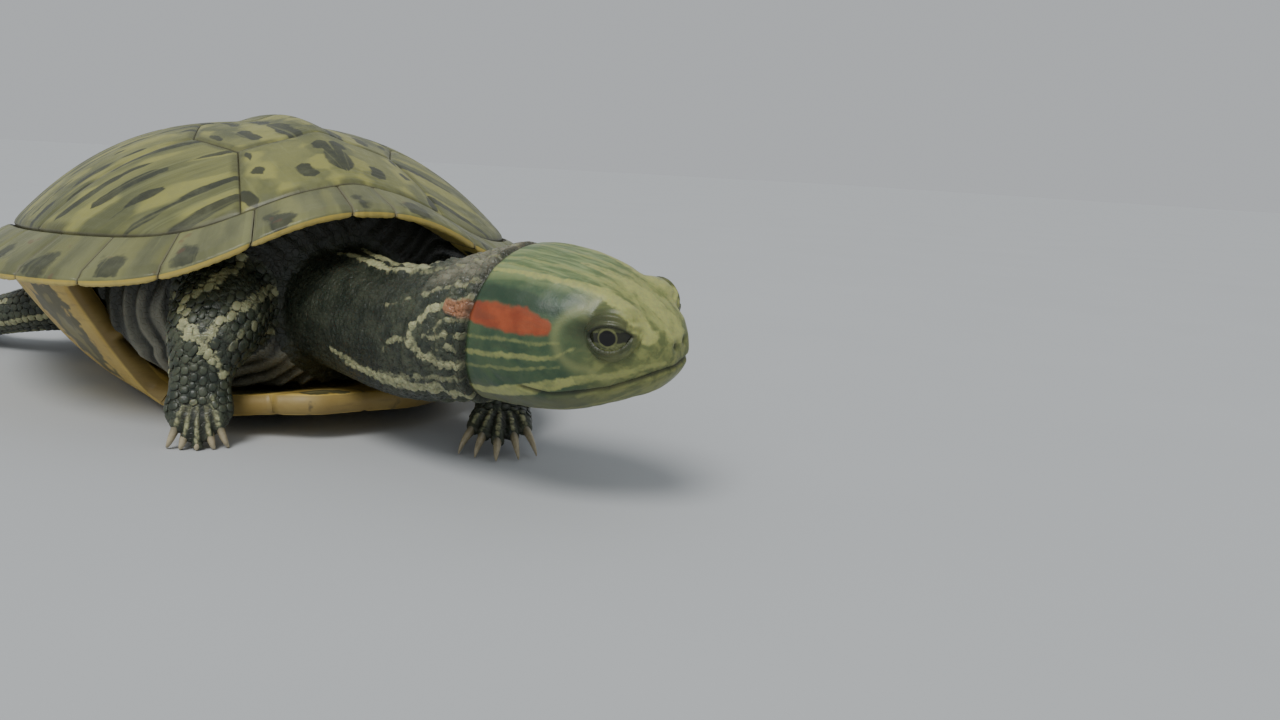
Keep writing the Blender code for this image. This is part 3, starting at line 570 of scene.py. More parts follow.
def eye_finish():
    """A yellow-green iris with a round pupil, a dark bar through it and painted shadow of the upper lid over
    its top.
    """
    made = Finish("eye")
    gaze = made.layer("gaze", "Vector")
    u, v, _ = made.parts(gaze)
    reach = made.math("SQRT", made.math("POWER", u, 2.0) + made.math("POWER", v, 2.0))
    specks = made.noise(gaze, (2.2, 2.2, 2.2), detail=4.0)
    rays = made.noise(gaze, (1.0, 5.0, 1.0))
    made.colour = made.ramp(specks, 0.35, 0.65, *IRIS_TINTS)
    made.paint(made.ease(rays, 0.5, 0.7, 0.0, 0.5), IRIS_RAYS)
    made.paint(made.ease(reach, 1.35, 1.7), IRIS_EDGE)
    # Painted shadow of the upper lid over the top of the iris
    made.paint(made.ease(v, 0.15, 0.75, 0.0, 0.75), IRIS_LID_SHADOW)
    off_bar = abs(v + (specks - 0.5) * 0.35)
    made.paint(made.ease(off_bar, 0.52, 0.34, 0.0, 0.95), EYE_BAR)
    off_pale_ring = abs(reach - 0.78)
    made.paint(made.ease(off_pale_ring, 0.11, 0.03, 0.0, 0.40), PUPIL_RING)
    made.paint(made.ease(reach, 0.70, 0.62), PUPIL)
    made.set(Base_Color=made.colour, Roughness=made.ease(specks, 0.3, 0.7, 0.14, 0.20))
    made.set(Specular_IOR_Level=0.2, Coat_Weight=0.45, Coat_Roughness=0.03)
    made.set(Normal=made.bump(specks, 0.15, 0.0001))
    return made.material


def claw_finish():
    """Horn, dark at the root and pale tan to the point."""
    made = Finish("claw")
    streaks = made.noise(made.places(), (1.5, 1.5, 1.5), detail=4.0)
    made.colour = made.ramp(made.layer("along"), 0.1, 0.45, *CLAW_TINTS)
    made.paint(made.ease(streaks, 0.4, 0.7, 0.0, 0.4), CLAW_STREAKS)
    made.set(Base_Color=made.colour, Roughness=made.ease(streaks, 0.3, 0.7, 0.25, 0.4))
    made.set(Coat_Weight=0.2, Normal=made.bump(streaks, 0.3, 0.0001))
    return made.material


# ---------------------------------------------------------------- scutes

SEAM_WIDTH = 0.09  # the open line between neighbouring scutes
SEAM_LAP = 0.16  # how far the back of each scute reaches under its neighbours, to let no light through
SEAM_DEPTH = 0.26
SEAM_ROUNDING = 0.30
EDGE_STEP = 0.5
RING_SHARES = (1.0, 0.992, 0.98, 0.962, 0.938, 0.91) + tuple(np.linspace(0.87, 0.06, 20))
BACK_SHARES = (1.0, 0.75, 0.5, 0.25)
ANNULUS_STEP = 0.85  # from one growth ring to the next
ANNULUS_HEIGHT = 0.035
ANNULUS_START = 0.8  # from the seam to where the rings are at their full height
ANNULUS_REACH = 3.5  # from the seam to where they fade
ANNULUS_FADE = 3.0
HORN_GRAIN = 0.02  # roughness of the horn, and how deep it lies below the CAD surface
SEAM_FALL = 1.4  # how sharply the horn falls off towards its seams
MIDLINE_GAP = 0.03
ANNULUS_WANDER = 0.25
SEED_STEP = 7.3  # moves the pattern of each scute


def spaced(points, step):
    """A closed outline with its edges divided to about step."""
    made = []
    for here, there in zip(points, np.roll(points, -1, axis=0)):
        pieces = max(1, round(float(lengths(there - here)) / step))
        made += [here + (there - here) * k / pieces for k in range(pieces)]
    return np.array(made)


def inset(points, distance):
    """Moves each edge of a closed outline inwards by distance."""
    edge = unit(np.roll(points, -1, axis=0) - points)
    inward = np.stack((-edge[:, 1], edge[:, 0]), 1) * np.sign(signed_area(points))
    before = np.roll(inward, 1, axis=0)
    spread = 1.0 + np.sum(before * inward, axis=1, keepdims=True)
    return points + (before + inward) / spread * distance


def edge_distance(points, outline):
    """How far plan points are from the nearest side of a closed outline."""
    nearest = np.full(len(points), 1e9)
    for here, there in zip(outline, np.roll(outline, -1, axis=0)):
        nearest = np.minimum(nearest, segment_distance(points, here, there))
    return nearest


def scute(name, outline, centre, surface, side, thickness, material, layers_at, midline_seam=False):
    """One scute: a dense curved plate with rounded edges and low growth rings."""
    outline, centre = np.array(outline, float), np.array(centre, float)
    edge = spaced(inset(outline, SEAM_WIDTH / 2), EDGE_STEP)
    count = len(edge)
    plan = [centre + (edge - centre) * share for share in RING_SHARES + BACK_SHARES]
    plan[len(RING_SHARES)] = inset(edge, -SEAM_LAP)
    plan = np.concatenate(plan + [centre[None], centre[None]])
    x, y = plan.T
    gap = edge_distance(plan, outline)
    if midline_seam:
        gap = np.minimum(gap, np.abs(y) + MIDLINE_GAP)
    wander = noise_3d(np.stack((x, y, gap), 1) * 0.35, seed=5)
    rings = np.sin(2 * pi * (gap / ANNULUS_STEP + ANNULUS_WANDER * wander)) * ANNULUS_HEIGHT
    rings *= smooth(gap / ANNULUS_START) * (1.0 - smooth((gap - ANNULUS_REACH) / ANNULUS_FADE))
    grain = HORN_GRAIN * noise_3d(np.stack((x, y, 0 * x), 1) * 0.9, seed=2)
    sunk = SEAM_DEPTH * bell(gap, SEAM_ROUNDING, SEAM_FALL) - rings + grain
    depth = np.maximum(sunk, 0.0) + HORN_GRAIN
    fronts = len(RING_SHARES) * count
    depth[fronts : fronts + len(BACK_SHARES) * count] = thickness
    depth[-1] = thickness
    points = np.stack((x, y, surface(x, y)), 1) - surface_normal(surface, x, y) * side * depth[:, None]
    faces = []
    for k in range(len(RING_SHARES) - 1):
        faces += ring_faces(k * count, (k + 1) * count, count)
    for k in range(len(BACK_SHARES) - 1):
        faces += ring_faces(fronts + (k + 1) * count, fronts + k * count, count)
    faces += ring_faces(fronts, 0, count)
    last_front, last_back = fronts - count, fronts + (len(BACK_SHARES) - 1) * count
    faces += [(last_front + k, last_front + (k + 1) % count, len(points) - 2) for k in range(count)]
    faces += [(last_back + (k + 1) % count, last_back + k, len(points) - 1) for k in range(count)]
    layers = {"gap": gap, **layers_at(x, y)}
    if signed_area(edge) * side < 0:
        faces = [tuple(reversed(face)) for face in faces]
    placed = rested(moved(points, stance()), 0.0)
    made = mesh_object(f"{name}_horn", placed, faces, material, layers)
    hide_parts(name)
    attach(made, "root")


def seam_curve(first, last, share, pieces):
    return [tuple(p) for p in rim_plan(np.linspace(first, last, pieces + 1)) * share]


def mean_point(points):
    return tuple(np.mean(np.array(points), axis=0))


def horn_layers(along, across, seed):
    """Layers of a carapace scute whose grain runs along one direction."""
    count = len(along)
    grain = np.stack((along, across, np.full(count, seed * SEED_STEP)), 1)
    flat = np.zeros(count)
    return {"grain": grain, "smudge": flat, "under": flat, "rim": flat, "bold": flat + 1.0}


def vertebrals(material):
    front, rear = COSTAL_ANGLES[0], COSTAL_ANGLES[-1]
    seams = list(zip(VERTEBRAL_SEAMS, SEAM_HALF_WIDTHS))
    for k in range(5):
        if k == 0:
            outline = seam_curve(-front, front, MARGIN_SEAM, 12) + [seams[0], (seams[0][0], -seams[0][1])]
        elif k == 4:
            outline = seam_curve(rear, 2 * pi - rear, MARGIN_SEAM, 12)
            outline += [(seams[3][0], -seams[3][1]), seams[3]]
        else:
            left = [seams[k - 1], VERTEBRAL_WIDEST[k - 1], seams[k]]
            outline = left + [(x, -y) for x, y in reversed(left)]

        def layers_at(x, y, seed=k + 1):
            return horn_layers(x * 1.3, np.abs(y) * 0.9 + 0.10 * x, seed)

        centre = (mean_point(outline)[0], 0.0)
        name = f"vertebral_{k + 1}"
        scute(name, outline, centre, dome_height, 1, SCUTE_THICKNESS, material, layers_at)


def costals(material):
    corners = [tuple(rim_plan(COSTAL_ANGLES[0]) * MARGIN_SEAM)]
    for seam, widest in zip(zip(VERTEBRAL_SEAMS, SEAM_HALF_WIDTHS), VERTEBRAL_WIDEST + (None,)):
        corners += [seam, widest] if widest else [seam]
    corners.append(tuple(rim_plan(COSTAL_ANGLES[-1]) * MARGIN_SEAM))
    for side_name, side in (("left", 1), ("right", -1)):
        for k in range(4):
            inner = corners[2 * k : 2 * k + 3]
            outer = seam_curve(COSTAL_ANGLES[k + 1], COSTAL_ANGLES[k], MARGIN_SEAM, 15)
            if k == 0:
                outer = outer[:-1]
            if k == 3:
                outer = outer[1:]
            outline = [(x, side * y) for x, y in list(inner) + outer]

            def layers_at(x, y, seed=k + 6 + side):
                share, _ = plan_position(x, y)
                return horn_layers(share * HALF_WIDTH * 1.1, x + 0.18 * np.abs(y), seed)

            name = f"costal_{side_name}_{k + 1}"
            centre = mean_point(outline)
            scute(name, outline, centre, dome_height, 1, SCUTE_THICKNESS, material, layers_at)


TOP_SHARES = (0.834, 0.838, 0.843, 0.85, 0.86) + tuple(np.linspace(0.873, 0.972, 9))
UNDER_SHARES = (0.97, 0.955, 0.94, 0.925, 0.91, 0.895, 0.88)
INNER_SHARES = (0.872, 0.826)
NOSE_SHARE = 0.985
RIM_NOSE = 0.5  # how far the rounded edge stands out
NOSE_POINTS = 7
UNDER_SLOPE = 5.5
RIM_STEPS = 26
RIM_GRAIN_LENGTH = 6.0
RIM_BLOT_AT = (0.30, 0.62)  # shares of the scute's width and of its slope
RIM_BLOT_SIZE = 0.34
RIM_SEED_STEP = 3.7
RIM_LIFT_FROM = 0.93  # share of the plan from which the serration lifts the top
RIM_LIFT_OVER = 0.06
RIM_NOSE_REACH = 0.6  # how far out the rounded edge goes, in its own radii
RIM_ARC_SHARE = 0.92  # how wide a marginal's face is, of the chord of the rim's plan
RIM_UNDER_DEPTH = 0.6  # how deep the seams are underneath, next to those on top
SERRATION_SHARE = 0.9
FAR_ACROSS = 99.0  # for the rows of points that are not near the seam with the costals


def marginal_sections(angle, bulge):
    """Rim sections at many angles, over the top, round the edge and back underneath: (n, m, 3)."""
    edge = rim_plan(angle)
    outward, reach = unit(edge), lengths(edge)
    rim = rim_height(angle)
    columns = []

    def on_dome(share, depth):
        x, y = (edge * share).T
        return np.stack((x, y, dome_height(x, y)), 1) - surface_normal(dome_height, x, y) * depth

    for share in TOP_SHARES:
        lift = smooth((share - RIM_LIFT_FROM) / RIM_LIFT_OVER)[None] * bulge
        point = on_dome(share, 0.0)
        point[:, :2] += outward * lift.reshape(-1, 1)
        columns.append(point)
    for turn in np.linspace(pi / 2, -pi / 2, NOSE_POINTS):
        out = reach * NOSE_SHARE + bulge + RIM_NOSE * RIM_NOSE_REACH * cos(turn)
        height = rim - RIM_NOSE + RIM_NOSE * sin(turn)
        columns.append(np.column_stack((outward * out[:, None], height)))
    for share in UNDER_SHARES:
        sink = 2 * RIM_NOSE - UNDER_SLOPE * (NOSE_SHARE - share)
        columns.append(np.column_stack((edge * share, rim - sink)))
    for share in INNER_SHARES:
        columns.append(on_dome(share, SCUTE_THICKNESS))
    return np.stack(columns, 1)


def grid_normals(grid):
    """Outward normals of a grid (n, m, 3) whose second direction closes on itself."""
    along = np.gradient(grid, axis=0)
    around = np.roll(grid, -1, axis=1) - np.roll(grid, 1, axis=1)
    normal = np.cross(along, around)
    return normal / np.maximum(lengths(normal)[..., None], 1e-9)


def rim_layers(share, arc, gap, seed):
    """Layers of a marginal scute, at shares of its width: a dark blot, a yellow edge, a pale underside."""
    columns, tops = gap.shape[1], len(TOP_SHARES) + NOSE_POINTS
    level = np.concatenate((np.linspace(0.0, 1.0, tops), np.linspace(1.0, 0.0, columns - tops)))
    level = np.repeat(level[None], RIM_STEPS, 0)
    spread = np.repeat(share[:, None], columns, 1)
    shift = np.full_like(level, seed * RIM_SEED_STEP)
    place = np.stack((level * RIM_GRAIN_LENGTH, spread * arc, shift), -1).reshape(-1, 3)
    number = np.repeat(np.arange(columns)[None], RIM_STEPS, 0).ravel()
    blot = 1.0 - np.hypot(spread - RIM_BLOT_AT[0], level - RIM_BLOT_AT[1]) / RIM_BLOT_SIZE
    blot = blot.ravel() + 0.35 * noise_3d(place * 0.8, seed)
    return {
        "gap": gap.ravel(),
        "grain": place * (1.0, 0.9, 1.0),
        "smudge": np.clip(blot, 0.0, 1.0),
        "under": (number >= tops - 3) * 1.0,
        "rim": ((number >= tops - NOSE_POINTS + 3) & (number < tops)) * 1.0,
        "bold": np.zeros(len(place)),
    }


def rim_scute(name, first, last, serration, seed, material):
    """One marginal scute or the nuchal, folded round the edge of the shell."""
    trim = SEAM_WIDTH / 2 / HALF_WIDTH
    wave = np.cos(pi * np.linspace(0.0, 1.0, RIM_STEPS))
    share = 0.5 - 0.5 * wave * (0.35 + 0.65 * np.abs(wave) ** 0.5)
    share = (share - share[0]) / (share[-1] - share[0])
    angle = first + trim + (last - first - 2 * trim) * share
    grid = marginal_sections(angle, serration * np.sin(pi * share) * SERRATION_SHARE)
    normals = grid_normals(grid)
    if np.sum(normals[:, 4, 2]) < 0:
        normals = -normals
    columns = grid.shape[1]
    arc = lengths(rim_plan(last) - rim_plan(first)) * RIM_ARC_SHARE
    end_gap = np.minimum(share, 1.0 - share)[:, None] * arc
    tops = len(TOP_SHARES) + NOSE_POINTS
    across = (np.array(TOP_SHARES) - TOP_SHARES[0]) * HALF_WIDTH
    across = np.concatenate((across, np.full(columns, FAR_ACROSS)))
    gap = np.minimum(end_gap, across[None, :columns])
    wall = np.zeros(columns)
    wall[:-2] = 1.0
    depth = SEAM_DEPTH * bell(gap, SEAM_ROUNDING, SEAM_FALL)
    depth -= ANNULUS_HEIGHT * np.sin(2 * pi * gap / ANNULUS_STEP) * smooth(gap / ANNULUS_START)
    depth *= np.where(np.arange(columns) < tops, 1.0, RIM_UNDER_DEPTH) * wall
    faces = loft_faces(RIM_STEPS, columns)
    points = moved((grid - normals * depth[..., None]).reshape(-1, 3), stance())
    layers = rim_layers(share, arc, gap, seed)
    made = mesh_object(f"{name}_horn", points, faces, material, layers)
    outward_faces(made)
    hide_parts(name)
    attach(made, "root")


def outward_faces(made):
    mesh_data = bmesh.new()
    mesh_data.from_mesh(made.data)
    bmesh.ops.recalc_face_normals(mesh_data, faces=mesh_data.faces)
    mesh_data.to_mesh(made.data)
    mesh_data.free()


def marginals(material):
    rim_scute("nuchal", -NUCHAL_HALF_ANGLE, NUCHAL_HALF_ANGLE, 0.0, 40, material)
    width = (pi - NUCHAL_HALF_ANGLE) / MARGINALS
    for k in range(MARGINALS):
        first = NUCHAL_HALF_ANGLE + width * k
        serration = REAR_SERRATION if k >= FIRST_SERRATED else FRONT_SERRATION
        rim_scute(f"marginal_left_{k + 1}", first, first + width, serration, k + 1, material)
        rim_scute(f"marginal_right_{k + 1}", -first - width, -first, serration, k + 14, material)


def curved(points):
    """The corners of a free edge, joined by a smooth curve."""
    return [tuple(point) for point in refine(np.array(points)[:, None])[:, 0]]


def plastron(material):
    front, seam, rear = BRIDGE_ANGLES
    front_wing = seam_curve(front, seam, BRIDGE_SHARE, 10)
    rear_wing = seam_curve(seam, rear, BRIDGE_SHARE, 12)
    gular = curved([(36.5, 0.0), (36.5, 5.5), (34.2, 9.3)]) + [(29.5, 0.0)]
    humeral_edge = curved([(34.2, 9.3), (29.5, 14.6), (24.0, 17.4), (19.5, 17.6)])
    humeral = [(29.5, 0.0)] + humeral_edge + [(19.5, 0.0)]
    femoral_edge = curved([(-15.5, 17.6), (-20.0, 18.6), (-25.5, 17.6), (-28.0, 15.8)])
    femoral = [(-15.5, 0.0)] + femoral_edge + [(-26.5, 0.0)]
    anal_edge = curved([(-28.0, 15.8), (-33.0, 12.2), (-37.0, 6.0), (-37.3, 2.5)])
    anal = [(-26.5, 0.0)] + anal_edge + [(-35.6, 0.0)]
    pectoral = [(19.5, 0.0), (19.5, 17.6), (17.4, 18.6)] + front_wing + [(4.0, 18.0), (4.0, 0.0)]
    abdominal = [(4.0, 0.0), (4.0, 18.0)] + rear_wing + [(-16.0, 19.4), (-15.5, 17.6), (-15.5, 0.0)]
    # half outline, x of the middle, then the blotches as x, distance from the midline, and size
    halves = {
        "gulars": (gular, 33.5, [(34.0, 4.0, 2.2)]),
        "humerals": (humeral, 25.0, [(25.5, 8.5, 4.2)]),
        "pectorals": (pectoral, 11.5, [(11.5, 9.0, 4.4), (11.0, 25.0, 4.2)]),
        "abdominals": (abdominal, -6.5, [(-5.0, 9.0, 4.8), (-4.0, 24.5, 4.6), (-12.0, 25.0, 3.6)]),
        "femorals": (femoral, -21.0, [(-21.0, 9.0, 4.4)]),
        "anals": (anal, -31.0, [(-31.0, 6.0, 3.6)]),
    }
    for name, (half, centre_x, blotches) in halves.items():
        outline = half + [(x, -y) for x, y in reversed(half) if y > 0]

        def layers_at(x, y, blotches=blotches):
            nearest = [1.0 - np.hypot(x - bx, np.abs(y) - by) / size * 0.5 for bx, by, size in blotches]
            return {"blotch": np.max(nearest, axis=0)}

        centre = (centre_x, 0.0)
        scute(name, outline, centre, plastron_height, -1, PLASTRON_THICKNESS, material, layers_at, True)


# ---------------------------------------------------------------- flesh

NECK_RADIUS = 7.6
NECK_STATIONS = (
    ((16.0, 0.0, 13.6), 7.2, 6.6),
    ((25.0, 0.1, 13.3), 7.0, 6.6),
    ((33.0, 0.8, 13.0), 6.8, 6.5),
    ((41.0, 1.9, 12.7), 6.8, 6.5),
    ((48.0, 3.0, 13.3), 6.9, 6.6),
    ((54.0, 4.3, 14.8), 7.1, 6.9),
)
TAIL_STATIONS = (
    ((-26.0, 0.0, 8.3), 4.4, 3.2),
    ((-33.0, 0.0, 6.9), 3.4, 2.6),
    ((-39.0, -0.8, 5.0), 2.4, 2.0),
    ((-45.0, -2.6, 2.6), 1.6, 1.4),
    ((-51.0, -5.6, 0.9), 0.8, 0.8),
)
LEGS = {
    "foreleg_right": {
        "leg": (
            ((16.0, -9.0, 13.5), 4.8, 5.0),
            ((23.0, -10.6, 13.8), 4.9, 5.0),
            ((28.5, -12.8, 13.2), 4.8, 4.4),
            ((31.2, -14.8, 10.6), 4.4, 3.4),
            ((31.8, -15.8, 8.0), 3.2, 2.5),
        ),
        "sideways": (0.32, 0.95, 0.0),
        "forward": (0.32, -0.12, -0.80),
        "spread": radians(36),
    },
    "foreleg_left": {
        "leg": (
            ((16.0, 8.5, 13.5), 4.8, 5.0),
            ((24.0, 13.0, 12.8), 4.8, 4.8),
            ((31.5, 16.0, 11.0), 4.5, 4.2),
            ((38.0, 16.0, 7.6), 3.9, 3.2),
            ((42.0, 13.8, 4.8), 3.2, 2.3),
        ),
        "sideways": (0.4, 0.9, 0.1),
        "forward": (0.82, -0.50, -0.42),
        "spread": radians(50),
    },
    "hindleg_right": {
        "leg": (
            ((-16.0, -9.0, 9.0), 5.2, 4.6),
            ((-21.0, -17.0, 8.0), 5.2, 4.2),
            ((-26.0, -24.0, 6.3), 4.7, 3.2),
            ((-31.0, -28.5, 4.6), 3.9, 2.6),
            ((-35.5, -31.0, 3.0), 3.3, 2.0),
        ),
        "sideways": (0.5, -0.8, 0.0),
        "forward": (-0.85, -0.45, -0.15),
        "spread": radians(50),
    },
    "hindleg_left": {
        "leg": (
            ((-16.0, 9.0, 9.0), 5.2, 4.6),
            ((-21.5, 17.5, 8.0), 5.2, 4.2),
            ((-25.0, 25.0, 6.3), 4.7, 3.2),
            ((-27.5, 31.0, 4.6), 3.9, 2.6),
            ((-30.5, 35.0, 3.0), 3.3, 2.0),
        ),
        "sideways": (-0.8, -0.5, 0.0),
        "forward": (-0.60, 0.72, -0.15),
        "spread": radians(50),
    },
}
FOREFOOT = {"length": 6.0, "half_width": 3.4, "half_height": 1.7, "toes": 5, "toe": 2.9, "web": 0.35}
HINDFOOT = {"length": 9.5, "half_width": 4.6, "half_height": 1.6, "toes": 4, "toe": 4.0, "web": 0.62}
PALM_RINGS = ((0.4, 0.88, 1.0), (0.75, 1.0, 0.8), (1.0, 0.85, 0.5))  # shares of length, width, height
TOE_RADII = (1.2, 1.1, 0.9)
WEB_RAYS = (0.2, 0.4, 0.6, 0.8)  # from one toe to the next
WEB_RADII = (0.55, 0.45, 0.34)
WEB_LEAST_Z = 0.40
WEB_HOLLOW = 0.5  # how much further out a web reaches beside the toes than between them
PALM_SQUARENESS = 2.3
TOE_START = (0.6, 1.1, 0.1)  # shares of the foot's length and half width, and height over its axis
SIDE_TOE_LOSS = 0.35  # how much shorter the outer toes are
KNUCKLE_SHARE = 0.33
KNUCKLE_RISE = 0.3
CLAW_BEND = (0.5, 0.12)  # shares of the claw's length and droop
CLAW_REACH = 0.97
CLAW_LENGTH = 2.8
CLAW_DROOP = 1.3
CLAW_RADIUS = 0.62
CLAW_SHEATH = 0.7  # how far the skin of a toe ends short of its claw's root
CLAW_BEND_Z = 0.42
CLAW_POINT_Z = 0.10
CLAW_STEPS = 15
CLAW_SIDES = 16
CLAW_ROOT = 0.7  # how deep the claw's root is in its toe
CLAW_ARCH = 0.2
CLAW_TAPER = 0.75
CLAW_POINT_RADIUS = 0.05
CLAW_SECTION = (0.8, 1.1, -0.85)  # half width, top and bottom in the claw's radii
RING_POINTS = 48
RING_REFINING = 6
LIMB_SQUARENESS = 2.2
NECK_INTO_HEAD = 0.4
NOSE_RINGS = (0.75, 0.4)  # the last rings of the head, drawn in and stepped forward to round it
NOSE_ROUNDING = 0.08
TIP_TURNS = (0.5, 0.95, 1.3)  # angles of the rings that round off a toe
TIP_SHARES = (0.97, 0.85, 0.45)  # how far the last rings of the tail are drawn in
TRUNK_CLEARANCE = 0.7
TRUNK_DOME_SHARES = (0.05, 0.3, 0.58, 0.72, 0.79)
TRUNK_SIDE_SHARE = 0.76
TRUNK_SIDE_FROM = 0.72  # sine of the angle round the shell from which the trunk has a side
TRUNK_SIDE_OVER = 0.2
TRUNK_SIDE_RISE = 1.2
TRUNK_END_DROP = 1.5
TRUNK_FLOOR_Z = 3.0
TRUNK_FLOOR_SIDE_Y = 15.5
TRUNK_FLOOR_END_SHARE = 0.70
POCKET_Z = 6.5
LID_RADIUS = 2.8
LID_TURNS = np.linspace(-1.45, 1.45, 15)
LID_CENTRE = Vector((5.6, 2.75, 1.6))
MOUTH_LINE = ((12.0, -1.5), (9.2, -1.9), (5.6, -3.0), (1.0, -3.4), (-1.8, -2.8))
SKIN_VOXEL = 0.28
SKIN_SMOOTHING = (0.5, 4)  # factor and rounds


def ring(centre, side, up, half_width, top, bottom, squareness, count=RING_POINTS):
    """A superellipse ring whose upper and lower halves may differ in height."""
    angle = 2 * pi * (np.arange(count) + 0.5) / count
    across = half_width * signed_power(np.cos(angle), 2.0 / squareness)
    height = np.where(np.sin(angle) >= 0, top, -bottom) * signed_power(np.sin(angle), 2.0 / squareness)
    return np.asarray(centre) + np.outer(across, side) + np.outer(height, up)


def refine(rings, pieces=RING_REFINING):
    """Smooth curves through the rings, point by point, with more rings between them."""
    rings = np.asarray(rings, float)
    padded = np.concatenate((2 * rings[:1] - rings[1:2], rings, 2 * rings[-1:] - rings[-2:-1]))
    made = []
    for k in range(len(rings) - 1):
        before, here, there, after = padded[k : k + 4]
        for share in np.arange(pieces) / pieces:
            slope = (there - before) * share + (2 * before - 5 * here + 4 * there - after) * share**2
            slope += (3 * here - before - 3 * there + after) * share**3
            made.append(here + slope / 2)
    return np.array(made + [rings[-1]])


def limb_rings(stations, sideways):
    centres = np.array([station[0] for station in stations])
    rings = []
    for k, (centre, station) in enumerate(zip(centres, stations)):
        along = unit(centres[min(k + 1, len(centres) - 1)] - centres[max(k - 1, 0)])
        side = unit(sideways - along * (sideways @ along))
        _, half_width, half_height = station
        up = np.cross(along, side)
        rings.append(ring(centre, side, up, half_width, half_height, -half_height, LIMB_SQUARENESS))
    return rings


def head_rings():
    rings = []
    for x, half_width, top, bottom, squareness in HEAD_STATIONS:
        rings.append(ring((x, 0, 0), (0, 1, 0), (0, 0, 1), half_width, top, bottom, squareness))
    rings = refine(rings)
    tip = rings[-1]
    for share in NOSE_RINGS:
        middle = tip.mean(axis=0)
        rings = np.concatenate((rings, [middle + (tip - middle) * share + (NOSE_ROUNDING, 0, 0)]))
    lean = BACK_LEAN * np.clip((1.0 - rings[..., 0]) / (1.0 - HEAD_BACK_X), 0.0, 1.0)
    rings[..., 0] += lean * rings[..., 2]
    return moved(rings, head_frame())


def neck_rings():
    along, left, _ = HEAD_TURN.T
    centres = np.array([station[0] for station in NECK_STATIONS])
    rings = []
    for k, (_, half_width, half_height) in enumerate(NECK_STATIONS):
        share = smooth(k / (len(NECK_STATIONS) - 1))
        ahead = unit(centres[min(k + 1, len(centres) - 1)] - centres[max(k - 1, 0)])
        tangent = unit(ahead + (along - ahead) * share)
        side = np.array((0, 1, 0)) + (left - (0, 1, 0)) * share
        side = unit(side - tangent * (side @ tangent))
        up = np.cross(tangent, side)
        rings.append(ring(centres[k], side, up, half_width, half_height, -half_height, LIMB_SQUARENESS))
    x, half_width, top, bottom, squareness = HEAD_STATIONS[0]
    last = ring((x + NECK_INTO_HEAD, 0, 0), (0, 1, 0), (0, 0, 1), half_width, top, bottom, squareness)
    last[:, 0] += BACK_LEAN * last[:, 2]
    return refine(rings + [moved(last, head_frame())])


def trunk_rings():
    angle = 2 * pi * np.arange(RING_POINTS) / RING_POINTS
    edge = rim_plan(angle)
    rim = rim_height(angle)
    inside = SCUTE_THICKNESS + TRUNK_CLEARANCE
    rings = []
    for share in TRUNK_DOME_SHARES:
        x, y = (edge * share).T
        top = np.stack((x, y, dome_height(x, y)), 1)
        rings.append(top - surface_normal(dome_height, x, y) * inside)
    sideways = smooth((np.abs(np.sin(angle)) - TRUNK_SIDE_FROM) / TRUNK_SIDE_OVER)
    low_side = rim + TRUNK_SIDE_RISE * sideways - TRUNK_END_DROP * (1 - sideways)
    low_side = sideways * low_side + (1 - sideways) * POCKET_Z
    rings.append(np.column_stack((edge * TRUNK_SIDE_SHARE, low_side)))
    floor = edge * TRUNK_FLOOR_END_SHARE
    floor[:, 1] = np.clip(floor[:, 1], -TRUNK_FLOOR_SIDE_Y, TRUNK_FLOOR_SIDE_Y)
    lift = LOBE_RISE * smooth((np.abs(floor[:, 0]) - LOBE_RISE_FROM) / LOBE_RISE_OVER)
    rings.append(np.column_stack((floor, TRUNK_FLOOR_Z + lift)))
    return moved(np.array(rings), stance())


def rested(points, height):
    """Keeps points at least this high, so that what meets the floor lies on it."""
    points = np.array(points, float)
    points[..., 2] = np.maximum(points[..., 2], height)
    return points


def tube(path, radii, up, count=20):
    """Rings of a tapering round rod along a path, with a round far end."""
    path = refine(np.array(path)[:, None], 5)[:, 0]
    radii = refine(np.array(radii)[:, None], 5)[:, 0]
    rings = []
    for k, (point, radius) in enumerate(zip(path, radii)):
        along = unit(path[min(k + 1, len(path) - 1)] - path[max(k - 1, 0)])
        side = unit(np.cross(up, along))
        rings.append(ring(point, side, np.cross(along, side), radius, radius, -radius, 2.0, count))
    for turn in TIP_TURNS:
        middle, reach = path[-1] + along * radii[-1] * sin(turn), radii[-1] * cos(turn)
        rings.append(ring(middle, side, np.cross(along, side), reach, reach, -reach, 2.0, count))
    return np.array(rings)


def foot_plan(spec, size):
    """The rings of a foot's palm, each toe's path out to the point of its claw, the way to the foot's
    upper side, and its ankle."""
    rings = limb_rings(spec["leg"], np.array(spec["sideways"]))
    forward = unit(np.array(spec["forward"]))
    sideways = np.array(spec["sideways"])
    side = unit(sideways - forward * (sideways @ forward))
    top = np.cross(forward, side)
    ankle = np.array(spec["leg"][-1][0])
    length, half_width, half_height = size["length"], size["half_width"], size["half_height"]
    palm = [rings[-1]]
    for x, width, height in PALM_RINGS:
        w, h = half_width * width, half_height * height
        made = ring(ankle + forward * length * x, side, top, w, h, -h, PALM_SQUARENESS)
        palm.append(rested(made, -FLOOR_BITE))
    toes = []
    ahead, apart, rise = TOE_START
    for k in range(size["toes"]):
        turn = spec["spread"] * (k / (size["toes"] - 1) - 0.5)
        reach = 1.0 - SIDE_TOE_LOSS * abs(turn) / (spec["spread"] / 2)
        ray = forward * cos(turn) + side * sin(turn)
        start = ankle + forward * length * ahead + side * sin(turn) * half_width * apart + top * rise
        knuckle = start + ray * length * KNUCKLE_SHARE * reach
        tip = knuckle + ray * size["toe"] * reach
        bend = tip + ray * CLAW_LENGTH * CLAW_BEND[0] + top * CLAW_DROOP * CLAW_BEND[1]
        point = tip + ray * CLAW_LENGTH * CLAW_REACH - top * CLAW_DROOP
        toes.append((start, knuckle + top * KNUCKLE_RISE, tip, bend, point))
    return refine(palm), toes, top, ankle


